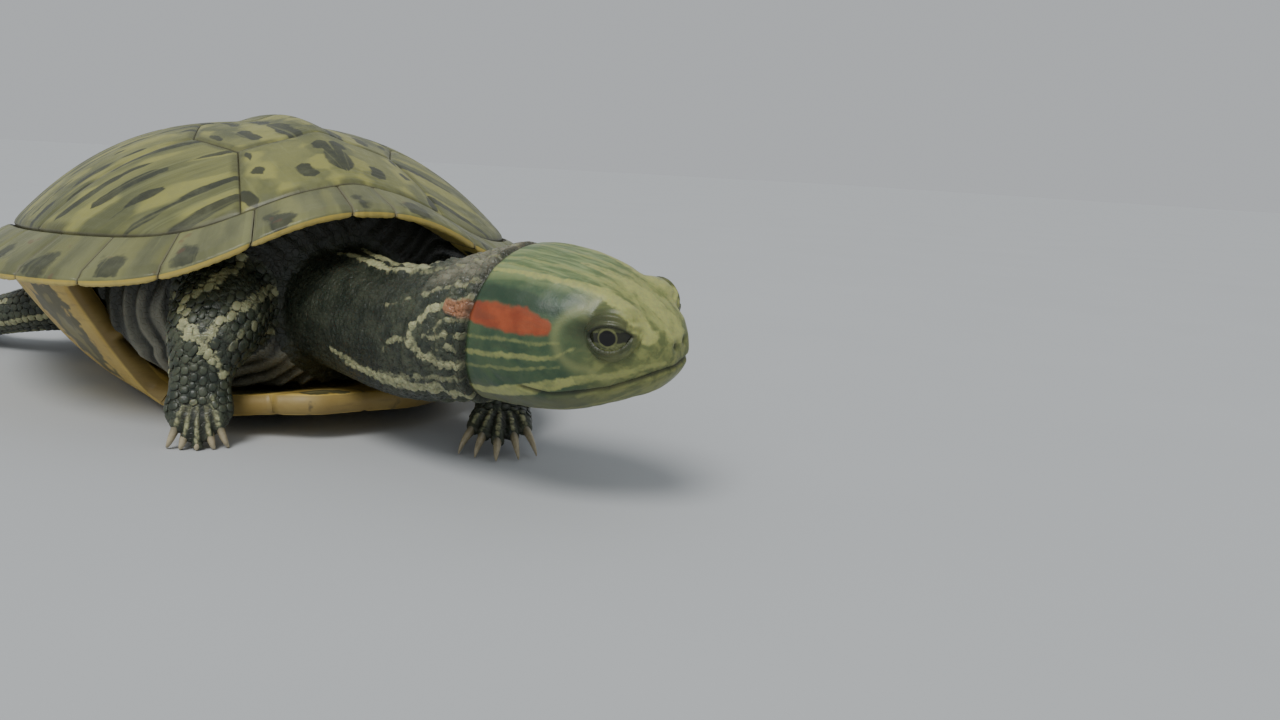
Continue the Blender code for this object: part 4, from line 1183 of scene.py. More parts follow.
def foot_size(name):
    return FOREFOOT if name.startswith("fore") else HINDFOOT


def toe_paths(toe):
    start, knuckle, tip, _, _ = toe
    tip = tip - unit(tip - knuckle) * CLAW_SHEATH
    return [rested(p, r - FLOOR_BITE) for p, r in zip((start, knuckle, tip), TOE_RADII)]


def webs(toes, top, reach):
    """Thin rays of skin that fill the angles between neighbouring toes."""
    made = []
    for here, there in zip(toes, toes[1:]):
        for share in WEB_RAYS:
            start, _, tip = (h + (t - h) * share for h, t in zip(here[:3], there[:3]))
            end = start + (tip - start) * (reach + WEB_HOLLOW * (share - 0.5) ** 2)
            path = [rested(p, WEB_LEAST_Z) for p in (start, (start + end) / 2, end)]
            made.append(tube(path, WEB_RADII, top))
    return made


def round_tip(rings):
    """The same limb with its last rings drawn in."""
    for k, share in zip((-3, -2, -1), TIP_SHARES):
        middle = rings[k].mean(axis=0)
        rings[k] = middle + (rings[k] - middle) * share
    return rings


def flesh_shapes():
    """Every closed form that the one skin is cast from, as rings, by name."""
    shapes = {"trunk": trunk_rings(), "neck": neck_rings(), "head": head_rings()}
    shapes["tail"] = round_tip(refine(limb_rings(TAIL_STATIONS, np.array((0.0, -1.0, 0.0)))))
    for name, spec in LEGS.items():
        rings = limb_rings(spec["leg"], np.array(spec["sideways"]))
        palm, toes, top, _ = foot_plan(spec, foot_size(name))
        shapes[name] = refine(rings)
        shapes[name.replace("leg", "palm")] = palm
        for k, toe in enumerate(toes):
            shapes[f"{name.replace('leg', 'toe')}_{k}"] = tube(toe_paths(toe), TOE_RADII, top)
        for k, web in enumerate(webs(toes, top, foot_size(name)["web"])):
            shapes[f"{name.replace('leg', 'web')}_{k}"] = web
    along, left, up = HEAD_TURN.T
    for side in (1, -1):
        centre = np.array(head_frame() @ (LID_CENTRE * Vector((1, side, 1))))
        rings = []
        for turn in LID_TURNS:
            middle, reach = centre + left * side * LID_RADIUS * sin(turn), LID_RADIUS * cos(turn)
            rings.append(ring(middle, along, up, reach, reach, -reach, 2.0))
        shapes[f"lid_{side}"] = np.array(rings)
    return shapes


def cast_skin(shapes):
    """One closed mesh round all the forms, cast from voxels and smoothed."""
    points, faces = [], []
    for rings in shapes.values():
        count = rings.shape[1]
        faces += loft_faces(len(rings), count, len(points))
        points += rings.reshape(-1, 3).tolist()
    cast = mesh_object("skin_cast", points, faces, None)
    outward_faces(cast)
    remesh = cast.modifiers.new("Voxels", "REMESH")
    remesh.mode = "VOXEL"
    remesh.voxel_size = SKIN_VOXEL * MM
    relax = cast.modifiers.new("Relax", "SMOOTH")
    relax.factor, relax.iterations = SKIN_SMOOTHING
    graph = bpy.context.evaluated_depsgraph_get()
    mesh = bpy.data.meshes.new_from_object(cast.evaluated_get(graph))
    bpy.data.objects.remove(cast)
    return mesh


# ---------------------------------------------------------------- where each point of the skin lies

SPINE_END = 1.5  # past the end of a limb's spine by more than this, a point is further from the limb


def spine_places(points, rings):
    """For each point: distance down a limb, angle round it, how many of its radii out, and that radius."""
    centres = rings.mean(axis=1)
    along = unit(np.gradient(centres, axis=0))
    side = unit((rings[:, 0] + rings[:, -1]) / 2 - centres)
    up = unit(np.cross(along, side))
    side = np.cross(up, along)
    radius = lengths(rings - centres[:, None]).mean(axis=1)
    length = np.concatenate(([0.0], np.cumsum(lengths(np.diff(centres, axis=0)))))
    nearest = nearest_index(points, centres)
    local = points - centres[nearest]
    ahead = np.sum(local * along[nearest], axis=1)
    across = np.sum(local * side[nearest], axis=1)
    height = np.sum(local * up[nearest], axis=1)
    past = np.maximum(0.0, np.abs(ahead) - SPINE_END)
    share = np.hypot(np.hypot(across, height), past) / radius[nearest]
    return length[nearest] + ahead, np.arctan2(height, across), share, radius[nearest]


def nearest_index(points, centres):
    best, chosen = np.full(len(points), 1e18), np.zeros(len(points), int)
    for k, centre in enumerate(centres):
        gap = np.sum((points - centre) ** 2, axis=1)
        closer = gap < best
        best[closer], chosen[closer] = gap[closer], k
    return chosen


def line_distance(x, y, line):
    """Distance in a plane from points to a broken line of (x, y, half width), less the half width."""
    nearest = np.full(len(x), 1e9)
    for (x0, y0, w0), (x1, y1, w1) in zip(line, line[1:]):
        dx, dy = x1 - x0, y1 - y0
        share = np.clip(((x - x0) * dx + (y - y0) * dy) / (dx * dx + dy * dy), 0.0, 1.0)
        gap = np.hypot(x - x0 - share * dx, y - y0 - share * dy) - (w0 + (w1 - w0) * share)
        nearest = np.minimum(nearest, gap)
    return nearest


# Stripes of the head, alike on both sides: brightness, then x, degrees above the level and half width
BROW_STRIPE = (
    (-5.5, 60, 0.15),
    (-2.0, 58, 0.24),
    (1.5, 60, 0.34),
    (4.7, 61, 0.46),
    (7.4, 50, 0.44),
    (9.0, 24, 0.42),
)
HEAD_STRIPES = (
    (1.00, *BROW_STRIPE),
    (0.55, (-9.0, 80, 0.14), (0.0, 77, 0.18), (4.0, 76, 0.24), (7.8, 72, 0.24), (9.4, 52, 0.22)),
    (0.95, (1.0, 90, 0.12), (5.0, 90, 0.30), (9.0, 90, 0.46), (10.2, 70, 0.46), (10.6, 20, 0.30)),
    (0.45, (-9.0, 70, 0.10), (-4.0, 66, 0.16), (0.5, 63, 0.10)),
    (0.45, (-9.0, 9, 0.10), (-3.0, 12, 0.16), (2.4, 13, 0.08)),
    (0.70, (-9.0, -3, 0.16), (-4.5, 0, 0.22), (-1.0, 2, 0.24), (2.2, 3, 0.16), (3.2, 8, 0.08)),
    (0.45, (-9.0, -14, 0.08), (-3.0, -8, 0.14), (2.3, -4, 0.08)),
    (1.00, (-9.0, -36, 0.30), (-5.7, -32, 0.50), (-2.5, -25, 0.56), (0.5, -20, 0.54), (3.2, -17, 0.36)),
    (0.70, (3.2, -17, 0.36), (6.2, -19, 0.26), (8.4, -18, 0.22), (9.6, -26, 0.16)),
    (0.40, (3.0, -33, 0.10), (6.2, -33, 0.20), (8.6, -36, 0.14)),
    (0.45, (-9.0, -58, 0.24), (-2.0, -52, 0.32), (3.0, -52, 0.30), (6.5, -62, 0.22)),
    (0.40, (-9.0, -78, 0.16), (0.0, -76, 0.22), (5.0, -84, 0.20)),
)
RED_STRIPE = ((-11.8, 31, 0.40), (-9.0, 28, 0.62), (-5.0, 27, 1.02), (-1.0, 25, 1.05), (1.2, 23, 0.55))
DARK_STRIPE = ((-9.0, 41, 0.40), (-5.0, 42, 0.62), (-1.0, 39, 0.72), (1.8, 35, 0.35))
# A pale ridge of loose skin on either side of the nape, as distance behind the head, angle and half width
NAPE_RIDGE = (
    (8.0, 84, 0.14),
    (11.5, 87, 0.34),
    (14.4, 82, 0.60),
    (18.5, 83, 0.72),
    (23.0, 84, 0.60),
    (27.0, 76, 0.3),
)
# Stripes of the neck as brightness, then distance behind the head, angle above the level and half width
NECK_STRIPES = (
    (0.95, (0.0, 36, 0.36), (3.0, 36, 0.38), (5.4, 33, 0.36), (6.8, 24, 0.34), (7.2, 14, 0.36)),
    (0.95, (7.2, 14, 0.36), (5.6, 2, 0.36), (2.8, -7, 0.44), (0.0, -9, 0.44)),
    (0.60, (0.0, 23, 0.17), (2.6, 24, 0.20), (4.6, 19, 0.18), (5.2, 14, 0.10)),
    (0.75, (0.0, 12, 0.20), (2.6, 14, 0.22), (4.6, 11, 0.16)),
    (0.60, (0.0, 2, 0.14), (2.4, 5, 0.18), (4.0, 4, 0.10)),
    (0.75, (7.2, 14, 0.26), (9.8, 15, 0.20), (11.0, 8, 0.10)),
    (0.55, (0.0, -20, 0.22), (3.0, -19, 0.16), (7.5, -16, 0.14), (12.0, -14, 0.08)),
    (1.00, (0.0, -43, 0.42), (1.6, -38, 0.50), (4.5, -28, 0.60), (8.9, -23, 0.66), (12.1, -22, 0.62)),
    (1.00, (12.1, -22, 0.62), (17.2, -16, 0.5)),
    (0.80, (17.2, -16, 0.50), (21.0, -10, 0.20)),
    (0.45, (0.0, -66, 0.30), (8.0, -66, 0.26), (16.0, -60, 0.2)),
    (0.60, (0.0, 50, 0.18), (3.0, 51, 0.20), (7.0, 49, 0.16), (13.0, 44, 0.10)),
    (0.95, *NAPE_RIDGE),
    (0.50, (0.0, 78, 0.16), (6.0, 78, 0.20), (12.0, 80, 0.14)),
)
# Stripes of the right foreleg as brightness, then distance down the leg, angle round it and half width
FORELEG_RADIUS = 4.0
FORELEG_STRIPES = (
    (1.00, (9.0, 62, 0.30), (12.9, 81, 0.50), (14.3, 101, 0.50), (15.2, 127, 0.52), (15.9, 138, 0.58)),
    (1.00, (15.9, 138, 0.58), (17.4, 130, 0.56), (18.1, 120, 0.50), (18.7, 92, 0.50), (19.2, 62, 0.50)),
    (1.00, (19.2, 62, 0.50), (20.2, 38, 0.50), (21.8, 34, 0.42)),
    (0.85, (9.5, 14, 0.30), (11.8, 23, 0.45), (14.3, 36, 0.42), (15.2, 50, 0.40), (17.0, 68, 0.38)),
    (0.85, (17.0, 68, 0.38), (18.3, 88, 0.34)),
    (0.50, (12.0, 6, 0.20), (15.1, 14, 0.22), (16.6, 30, 0.20), (18.4, 42, 0.14)),
    (0.65, (19.8, 112, 0.16), (21.2, 104, 0.26), (24.0, 92, 0.22)),
    (0.70, (21.8, 34, 0.42), (24.0, 44, 0.28)),
    (0.60, (8.0, -30, 0.30), (24.0, -30, 0.26)),
    (0.60, (8.0, -78, 0.30), (24.0, -78, 0.26)),
    (0.60, (8.0, -124, 0.30), (24.0, -124, 0.26)),
    (0.70, (8.0, 176, 0.34), (24.0, 176, 0.30)),
)
# Stripes along the other legs and the tail: degrees round the limb and half width
LEG_STRIPES = ((152, 0.66), (104, 0.18), (64, 0.46), (24, 0.22), (-20, 0.30), (-66, 0.24), (-112, 0.34))
TAIL_STRIPES = ((60, 0.25), (120, 0.25), (0, 0.2), (180, 0.2))
STRIPE_WANDER = 7.0  # in degrees
FAR = 9.0  # further than any stripe, joint or foot matters
CELL_ROUNDING = 0.30
FOOT_FROM = 0.4  # down the foot from its ankle
FOOT_REACH = 2.6  # how far from the lines of its toes and palm a foot's skin goes


def head_places(points):
    """Points in the head's own frame, and their angle above the level on either side, in degrees."""
    local = (points - np.array(HEAD_CENTRE)) @ HEAD_TURN
    return local, np.degrees(np.arctan2(local[:, 2], np.abs(local[:, 1])))


def either_side(angle):
    """An angle as if it were on the limb's left side."""
    return np.arctan2(np.sin(angle), np.abs(np.cos(angle)))


def marked(x, arc, radius, stripes):
    """Signed distance to the nearest of the stripes, and how bright that one is. The radius turns the
    stripes' degrees into millimetres. It is a number, or a function of x."""
    nearest = np.full(len(x), FAR)
    bright = np.zeros(len(x))
    for strength, *line in stripes:
        line = [(at, radians(a) * (radius(at) if callable(radius) else radius), w) for at, a, w in line]
        gap = line_distance(x, arc, line)
        bright = np.where(gap < nearest, strength, bright)
        nearest = np.minimum(nearest, gap)
    return nearest, bright


def off_stripe(x, arc, radius, line):
    """Signed distance to one stripe."""
    return marked(x, arc, radius, ((1.0, *line),))[0]


def ring_stripes(distance, angle, radius, stripes, seed):
    """Signed distance to stripes that run along a limb and wander a little."""
    wander = STRIPE_WANDER * noise_3d(np.column_stack((distance * 0.16, angle * 0 + seed, angle * 0)), seed)
    nearest = np.full(len(distance), FAR)
    for at, half_width in stripes:
        turn = (angle + wander - at + 180.0) % 360.0 - 180.0
        nearest = np.minimum(nearest, np.abs(turn) * pi / 180 * radius - half_width)
    return nearest


def cell_relief(u, v, seed):
    """A paving of rounded cells, one for each unit: 0 at the joints and 1 inside, then each cell's middle."""
    cell_u, cell_v = np.floor(u).astype(np.int64), np.floor(v).astype(np.int64)
    first = np.full(len(u), FAR)
    second = np.full(len(u), FAR)
    middle_u, middle_v = u.copy(), v.copy()
    for du in (-1, 0, 1):
        for dv in (-1, 0, 1):
            at_u, at_v = cell_u + du, cell_v + dv
            key = (at_u * HASH_FACTORS[0]) ^ (at_v * HASH_FACTORS[1]) ^ (seed * HASH_FACTORS[2])
            jitter_u, jitter_v = (key * mixer % HASH_RANGE / HASH_RANGE for mixer in HASH_MIXERS)
            stagger = 0.5 * (at_v % 2)
            near_u, near_v = at_u + 0.5 * jitter_u + stagger, at_v + 0.25 + 0.5 * jitter_v
            gap = np.hypot(near_u - u, near_v - v)
            closer = gap < first
            middle_u, middle_v = np.where(closer, near_u, middle_u), np.where(closer, near_v, middle_v)
            second = np.where(closer, first, np.minimum(second, gap))
            first = np.where(closer, gap, first)
    return smooth((second - first) / CELL_ROUNDING), middle_u, middle_v


EYE_AXIS = Vector((0.28, 0.94, 0.16)).normalized()
EYE_CLEARANCE = 0.02
EYE_RINGS = 49
EYE_SIDES = 64
LID_LINE = (1.0, 0.0, 0.05)  # from corner to corner of the eye
LID_OPENING = (1.95, 0.98)
LID_THICKNESS = 0.26
LID_SINK = 0.65  # how far inside the eyeball's surface the skin goes in the opening
LID_POWER = 2.2  # of the curve of either lid
LID_SHARES = (1.10, 0.86)  # how far the lower and the upper lid bow out
OPENING_DEPTH = 0.6
LID_AREA = 4.2  # from the middle of the eye
LID_FRONT = 0.15
LID_WRINKLE_STEP = 0.80


def eye_frame(side):
    """The middle of one eye in the head's frame, and its axes along its opening, across it and out."""
    out = unit(np.array(EYE_AXIS * Vector((1, side, 1))))
    along = unit(np.array(LID_LINE) - out * (np.array(LID_LINE) @ out))
    return np.array(EYE_CENTRE * Vector((1, side, 1))), along, np.cross(along, out) * side, out


def eye_places(local, side):
    """Points about one eye from its middle, and the same along its opening, across it and out."""
    centre, *axes = eye_frame(side)
    offset = local - centre
    return offset, offset @ np.stack(axes, 1)


def opening_distance(u, v):
    """How far outside the almond between the lids a point is. It is negative inside."""
    half_length, half_height = LID_OPENING
    height = half_height * np.maximum(0.0, 1.0 - (np.abs(u) / half_length) ** LID_POWER)
    beyond = np.maximum(0.0, np.abs(u) - half_length)
    above = np.abs(v) / np.where(v < 0, *LID_SHARES) - height
    return np.hypot(np.maximum(0.0, above), beyond) - np.clip(-above, 0.0, OPENING_DEPTH)


def fit_lids(points):
    """Draws the skin round each eye onto the eyeball, with an opening between the lids."""
    local, _ = head_places(points)
    lid_crease_shade = np.zeros(len(points))
    for side in (1, -1):
        offset, place = eye_places(local, side)
        radius = lengths(offset)
        gap = opening_distance(place[:, 0], place[:, 1])
        facing = (place[:, 2] > LID_FRONT) & (radius < LID_AREA)
        edge = smooth((gap + 0.10) / 0.22)
        lid = EYE_RADIUS - LID_SINK + (LID_SINK + LID_THICKNESS) * edge
        above = smooth((place[:, 1] + 0.4) / 1.0)
        wrinkles = np.sin(2 * pi * gap / LID_WRINKLE_STEP + 0.6)
        lid += (0.05 + 0.06 * above) * wrinkles * smooth((gap - 0.25) / 0.2)
        weight = (1.0 - smooth((gap - 0.9) / 1.1)) * smooth((place[:, 2] - LID_FRONT) / 0.5) * facing
        target = radius + (lid - radius) * weight
        local += offset * (target / np.maximum(radius, 1e-6) - 1.0)[:, None]
        # The lid crease, which the skin's colour darkens with painted shade
        lid_crease_shade = np.maximum(lid_crease_shade, weight * bell(gap, 0.22))
    return local @ HEAD_TURN.T + np.array(HEAD_CENTRE), lid_crease_shade


def relaxed(points, edges, weight, rounds):
    """Laplacian smoothing by a weight for each point."""
    count = len(points)
    degree = np.bincount(edges.ravel(), minlength=count)[:, None]
    for _ in range(rounds):
        total = np.zeros_like(points)
        for axis in range(3):
            total[:, axis] = np.bincount(edges[:, 0], points[edges[:, 1], axis], count)
            total[:, axis] += np.bincount(edges[:, 1], points[edges[:, 0], axis], count)
        points = points + (total / degree - points) * weight[:, None]
    return points


# ---------------------------------------------------------------- the skin

HEAD_REACH = 16.0  # from the head's middle to the last point of its own skin
FINE_REACH = 15.0  # the skin has finer faces this near to the head's middle
FINE_BEHIND = 2.2  # and down to this far behind the head
LIMB_REACH = 1.22  # how far from a limb's spine its skin goes, in the limb's radii
SCALED_REACH = 1.20  # the same for its scales
OUTSIDE_SHARE = 0.97  # further out than this share of the shell's plan, all skin is a limb's
NECK_CELL = 0.85  # across the granules of the neck
LEG_CELL = 0.95  # across the scales of the legs
TAIL_CELL = 0.90
FOOT_CELL = 0.90
NECK_SNAP = 0.5  # how much the neck's stripes follow its granules
LEG_SNAP = 0.6  # how much the stripes of legs and tail follow the scales
STRIPE_SHARES = (0.7, 0.3)  # of the stripes broken by the scales, and of the same stripes whole
WRIST_AT = 23.6  # down the right foreleg, where its stripes end
SCALE_CLEARANCE = 1.9  # from the scales of a foot to the tips of its toes
PAVED_GROOVE = 0.4  # a foot has scales where the groove between the toes is shallower than this
PAVED_SLOPE = 0.35  # and the skin faces upwards by at least this much
LIMB_PLOT = 0.72  # how much of the UV map's width a limb's scales take
FOOT_PLOT = (70.0, 20.0)  # millimetres of a foot to the whole UV map
FOOT_PLOT_AT = (0.76, 0.5)
JOIN_AT = 1.12  # where a limb meets the trunk, in the limb's radii
JOIN_WIDTH = 0.22
JOIN_ROUNDS = 24
NECK_SEED, LIMB_SEED, STRIPE_SEED, FOOT_SEED = 17, 20, 11, 41
JOIN_SMOOTHING = 0.55
PAVING_LEVEL = 0.7  # of the paving's values, neither pushed out nor in
FOOT_LEVEL = 0.6
# Heights and depths of the skin's relief
NECK_RELIEF = 0.21
LEG_RELIEF = 0.25
FOOT_RELIEF = 0.09
POCKET_RELIEF = 0.30
TOE_GROOVE = 0.34
NAPE_HEIGHT = 0.55
HEAD_FOLD = 0.50
HEAD_GROOVE = 0.22
BROW_HEIGHT = 0.16
DRUM_DEPTH = 0.10
NOSTRIL_DEPTH = 0.45
LIP_DEPTH = 0.30
NOSTRIL = (10.1, 0.75, -0.05)
EAR_DRUM = (-3.2, -0.9)
EAR_DRUM_RADIUS = 1.7
RED_FROM = -3.2  # behind the head's own skin
RED_REACH = 18.0
FOLD_AREA = 14.0
# Values at the skin's points before any part of it is marked
START_VALUES = {
    "pale": 2.0,
    "bright": 0.9,
    "band": 2.0,
    "red": 3.0,
    "beige": 0.0,
    "dusk": 0.0,
    "whole": 1.0,
    "push": 0.0,
}


class Skin:
    """The skin's points, where each lies on the turtle, and the values that form and mark it there."""

    def __init__(self, shapes):
        self.mesh = cast_skin(shapes)
        refine_head(self.mesh)
        self.count = len(self.mesh.vertices)
        points = np.empty(self.count * 3)
        self.mesh.vertices.foreach_get("co", points)
        points = points.reshape(-1, 3) / MM - np.array(SHIFT)
        self.find_places(points, shapes)
        edges = np.empty(len(self.mesh.edges) * 2, np.int32)
        self.mesh.edges.foreach_get("vertices", edges)
        join = bell(self.limb_share - JOIN_AT, JOIN_WIDTH) * ~self.is_head * ~self.is_foot
        self.points = relaxed(points, edges.reshape(-1, 2), JOIN_SMOOTHING * join, JOIN_ROUNDS)
        self.normals = vertex_normals(self.mesh, self.points)
        self.values = {name: np.full(self.count, start) for name, start in START_VALUES.items()}
        self.paved = {}

    def find_places(self, points, shapes):
        self.limbs = {name: spine_places(points, shapes[name]) for name in ("neck", "tail", *LEGS)}
        self.feet = {name: foot_places(points, name) for name in LEGS}
        self.local, self.head_angle = head_places(points)
        self.collar = self.local[:, 0] - (HEAD_BACK_X + BACK_LEAN * self.local[:, 2])
        self.head_distance = lengths(self.local)
        shares = np.array([place[2] for place in self.limbs.values()])
        self.owner = np.argmin(shares, axis=0)
        self.limb_share = shares.min(axis=0)
        self.leg_distance = np.min([self.limbs[name][2] * self.limbs[name][3] for name in LEGS], axis=0)
        self.foot_share = np.min([place[2] for place in self.feet.values()], axis=0)
        self.outside = plan_position(points[:, 0], points[:, 1])[0] > OUTSIDE_SHARE
        self.is_head = (self.collar > 0) & (self.head_distance < HEAD_REACH)
        self.is_foot = (self.foot_share < 1.0) & ~self.is_head
        self.is_limb = (self.limb_share < LIMB_REACH) | self.outside
        self.is_trunk = ~(self.is_head | self.is_foot | self.is_limb)

    def mark(self, chosen, **values):
        for name, value in values.items():
            self.values[name] = np.where(chosen, value, self.values[name])

    def mark_neck(self, chosen, distance, angle, _, radius):
        """Granules, folds and stripes, broken where they cross the granules."""
        degrees = np.degrees(either_side(angle))
        granules, middle, turned = cell_relief(distance / NECK_CELL, angle * radius / NECK_CELL, NECK_SEED)
        shift = (middle * NECK_CELL - distance) * NECK_SNAP
        turned = turned * NECK_CELL / radius * NECK_SNAP + angle * (1.0 - NECK_SNAP)
        ragged = 0.2 * noise_3d(self.points * 0.85, 4)
        arc = either_side(turned) * NECK_RADIUS + ragged
        pale, bright = marked(ragged - self.collar - shift, arc, NECK_RADIUS, NECK_STRIPES)
        beige = smooth((degrees - 44) / 16) * smooth((9.0 + self.collar) / 4.0)
        # Painted shade that darkens the neck towards its base, deep under the shell
        dusk = smooth((-self.collar - 6.0) / 9.0)
        nape = off_stripe(-self.collar, np.radians(degrees) * NECK_RADIUS, NECK_RADIUS, NAPE_RIDGE)
        ridge = NAPE_HEIGHT * bell(np.maximum(nape, 0.0), 0.5)
        push = neck_folds(self.points, angle, self.collar) + NECK_RELIEF * (granules - PAVING_LEVEL)
        push += ridge * (0.7 + 0.5 * noise_3d(self.points * 0.9, 5))
        whole = 1.0 - 0.7 * (1.0 - granules)
        self.mark(chosen, pale=pale, bright=bright, beige=beige, dusk=dusk, push=push, whole=whole)

    def mark_limb(self, chosen, name, seed, distance, angle, share, radius):
        """A paving with a place for each scale, and stripes broken where they cross the scales."""
        cell, stripes = (LEG_CELL, LEG_STRIPES) if name in LEGS else (TAIL_CELL, TAIL_STRIPES)
        paving, middle, turned = cell_relief(distance / cell, angle * radius / cell, LIMB_SEED + seed)
        free = chosen & ((share < SCALED_REACH) | self.outside)
        root = np.column_stack((distance / distance[chosen].max() * LIMB_PLOT, angle / (2 * pi) + 0.5))
        self.paved[name] = [(free, middle, turned, distance, root)]
        middle = LEG_SNAP * middle * cell + (1.0 - LEG_SNAP) * distance
        turned = np.degrees(LEG_SNAP * turned * cell / radius + (1.0 - LEG_SNAP) * angle)
        if name == "foreleg_right":
            arc = np.radians(turned) * FORELEG_RADIUS
            pale, bright = marked(middle, arc, FORELEG_RADIUS, FORELEG_STRIPES)
            self.wrist = np.where(distance < WRIST_AT, pale, 2.0)
            self.mark(chosen, bright=bright)
        else:
            broken = ring_stripes(middle, turned, radius, stripes, STRIPE_SEED + seed)
            whole = ring_stripes(distance, np.degrees(angle), radius, stripes, STRIPE_SEED + seed)
            pale = STRIPE_SHARES[0] * broken + STRIPE_SHARES[1] * whole
        self.mark(chosen, pale=pale, push=LEG_RELIEF * (paving - PAVING_LEVEL), whole=paving)

    def mark_limbs(self):
        for k, (name, place) in enumerate(self.limbs.items()):
            chosen = (self.owner == k) & self.is_limb & ~self.is_head & ~self.is_foot
            if name == "neck":
                self.mark_neck(chosen, *place)
            else:
                self.mark_limb(chosen, name, k, *place)

    def mark_feet(self):
        """Paving, grooves between the toes and a pale line along each of them."""
        for name, (distance, across, share) in self.feet.items():
            chosen = self.is_foot & (share == self.foot_share)
            paving, middle, turned = cell_relief(distance / FOOT_CELL, across / FOOT_CELL, FOOT_SEED)
            groove = toe_gaps(self.points, name)
            _, toes, top, _ = foot_plan(LEGS[name], foot_size(name))
            tips = np.min([lengths(self.points - toe[2]) for toe in toes], axis=0)
            free = chosen & (groove < PAVED_GROOVE) & (self.normals @ top > PAVED_SLOPE)
            free &= tips > SCALE_CLEARANCE
            root = np.column_stack((distance, across)) / FOOT_PLOT + FOOT_PLOT_AT
            self.paved[name].append((free, middle, turned, distance, root))
            pale = toe_stripes(self.points, name)
            if name == "foreleg_right":
                pale = np.minimum(pale, self.wrist)
            push = FOOT_RELIEF * (paving - FOOT_LEVEL) - TOE_GROOVE * groove
            self.mark(chosen, pale=pale, push=push, whole=np.minimum(paving, 1.0 - groove))

    def mark_trunk(self):
        """Folds in the pockets, with painted light on their crests near the legs and painted shade in their
        hollows and where they lie deep in the shell.
        """
        lit = smooth((15.0 - self.leg_distance) / 6.0) * smooth((17.0 - self.points[:, 2]) / 5.0)
        folds = pocket_folds(self.points, self.leg_distance)
        # Painted light on the fold crests near the legs and low down, painted shade in the hollows and deep
        # in the shell
        self.fold = np.where(self.is_trunk, (0.5 + 0.5 * folds) * lit, 0.0)
        self.mark(self.is_trunk, push=POCKET_RELIEF * folds)

    def mark_head(self):
        """Stripes and red patch, then lips, nostrils, brows, ear drums and the fold behind them."""
        local, collar, is_head = self.local, self.collar, self.is_head
        arc = np.radians(self.head_angle) * head_radius(local[:, 0])
        at_x = local[:, 0] + 0.12 * noise_3d(local * 1.3, 6)
        at_arc = arc + 0.10 * noise_3d(local * 1.3, 8)
        pale, bright = marked(at_x, at_arc, head_radius, HEAD_STRIPES)
        band = off_stripe(at_x, at_arc, head_radius, DARK_STRIPE)
        red = off_stripe(at_x, at_arc, head_radius, RED_STRIPE)
        self.mark(is_head, pale=pale, bright=bright, band=band)
        self.mark((collar > RED_FROM) & (self.head_distance < RED_REACH), red=red)
        lip = bell(mouth_distance(local), 0.20) * is_head * smooth((local[:, 0] + 2.6) / 1.2)
        nostrils = [lengths(local - np.array(NOSTRIL) * (1, side, 1)) for side in (1, -1)]
        nostril = bell(np.min(nostrils, axis=0), 0.34)
        brow = bell(line_distance(local[:, 0], arc, brow_line()), 0.7)
        drum = np.hypot(local[:, 0] - EAR_DRUM[0], local[:, 2] - EAR_DRUM[1]) - EAR_DRUM_RADIUS
        fold = np.where(collar < 0, HEAD_FOLD * np.exp(collar / 1.5) * smooth(-collar / 0.25), 0.0)
        groove = HEAD_GROOVE * bell(collar, 0.35)
        around = self.head_distance < FOLD_AREA
        push = BROW_HEIGHT * brow - DRUM_DEPTH * bell(drum, 0.4) - NOSTRIL_DEPTH * nostril
        push += 0.035 * noise_3d(self.points * 1.1, 3)
        self.values["push"] += (fold - groove) * around + push * is_head - LIP_DEPTH * lip
        # Masks of painted shade in the mouth line, the nostrils and the groove behind the head
        self.crease_shades = (lip * 0.9, nostril * is_head, groove * 3.5 * around)

    def displace(self):
        """Moves the points out by their push, fits the lids and lays the skin on the floor."""
        points, lids = fit_lids(self.points + self.normals * self.values["push"][:, None])
        self.crease_shades = (*self.crease_shades, 0.8 * lids)
        self.points = rested(points, 0.0)
        self.normals = vertex_normals(self.mesh, self.points)

    def layers(self):
        """The values that the skin's material reads, by name."""
        values, is_head = self.values, self.is_head
        brow_shade, halo = eye_shades(self.local, is_head)
        return {
            "pale": np.clip(values["pale"], -2.0, 2.0),
            "bright": values["bright"],
            "band": np.clip(values["band"], -2.0, 2.0),
            "brow_shade": brow_shade,
            "halo": halo,
            "beige": values["beige"],
            "dusk": values["dusk"],
            "red": np.clip(values["red"], -2.0, 3.0),
            "crown": smooth((self.head_angle - 46) / 14) * is_head,
            "jaw": smooth((-22 - self.head_angle) / 14) * is_head,
            "muzzle": smooth((self.local[:, 0] - 2.0) / 4.0) * is_head,
            "head": is_head.astype(float),
            # Painted shade in the creases of the mouth, nostrils, collar groove and lids
            "dark": np.clip(np.maximum.reduce(self.crease_shades), 0, 1),
            "joint": 1.0 - values["whole"],
            "scaly": (self.is_limb | self.is_foot) * 1.0,
            "plate": np.zeros(self.count),
            "pocket": self.is_trunk * 1.0,
            # Painted light on the pocket folds' crests near the legs, painted shade where it is low
            "fold": self.fold,
            "own": self.local,
        }


def skin_pieces(material):
    """One skin for all the flesh, with its relief and markings, and the scales that stand on it."""
    skin = Skin(flesh_shapes())
    skin.mark_limbs()
    skin.mark_feet()
    skin.mark_trunk()
    skin.mark_head()
    skin.displace()
    layers = skin.layers()
    for name, plots in skin.paved.items():
        scale_coat(name, skin, plots, layers, material)
    skin.mesh.polygons.foreach_set("use_smooth", [True] * len(skin.mesh.polygons))
    skin.mesh.materials.clear()
    skin.mesh.materials.append(material)
    add_layers(skin.mesh, layers)
    skin.mesh.update()
    made = linked("skin", skin.mesh)
    flesh = ["trunk", "neck", "head", "lower_jaw", "tail"]
    for name in LEGS:
        flesh += [name, name.replace("leg", "foot")]
    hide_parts(*flesh)
    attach(made, "root")


# ---------------------------------------------------------------- the coat of scales

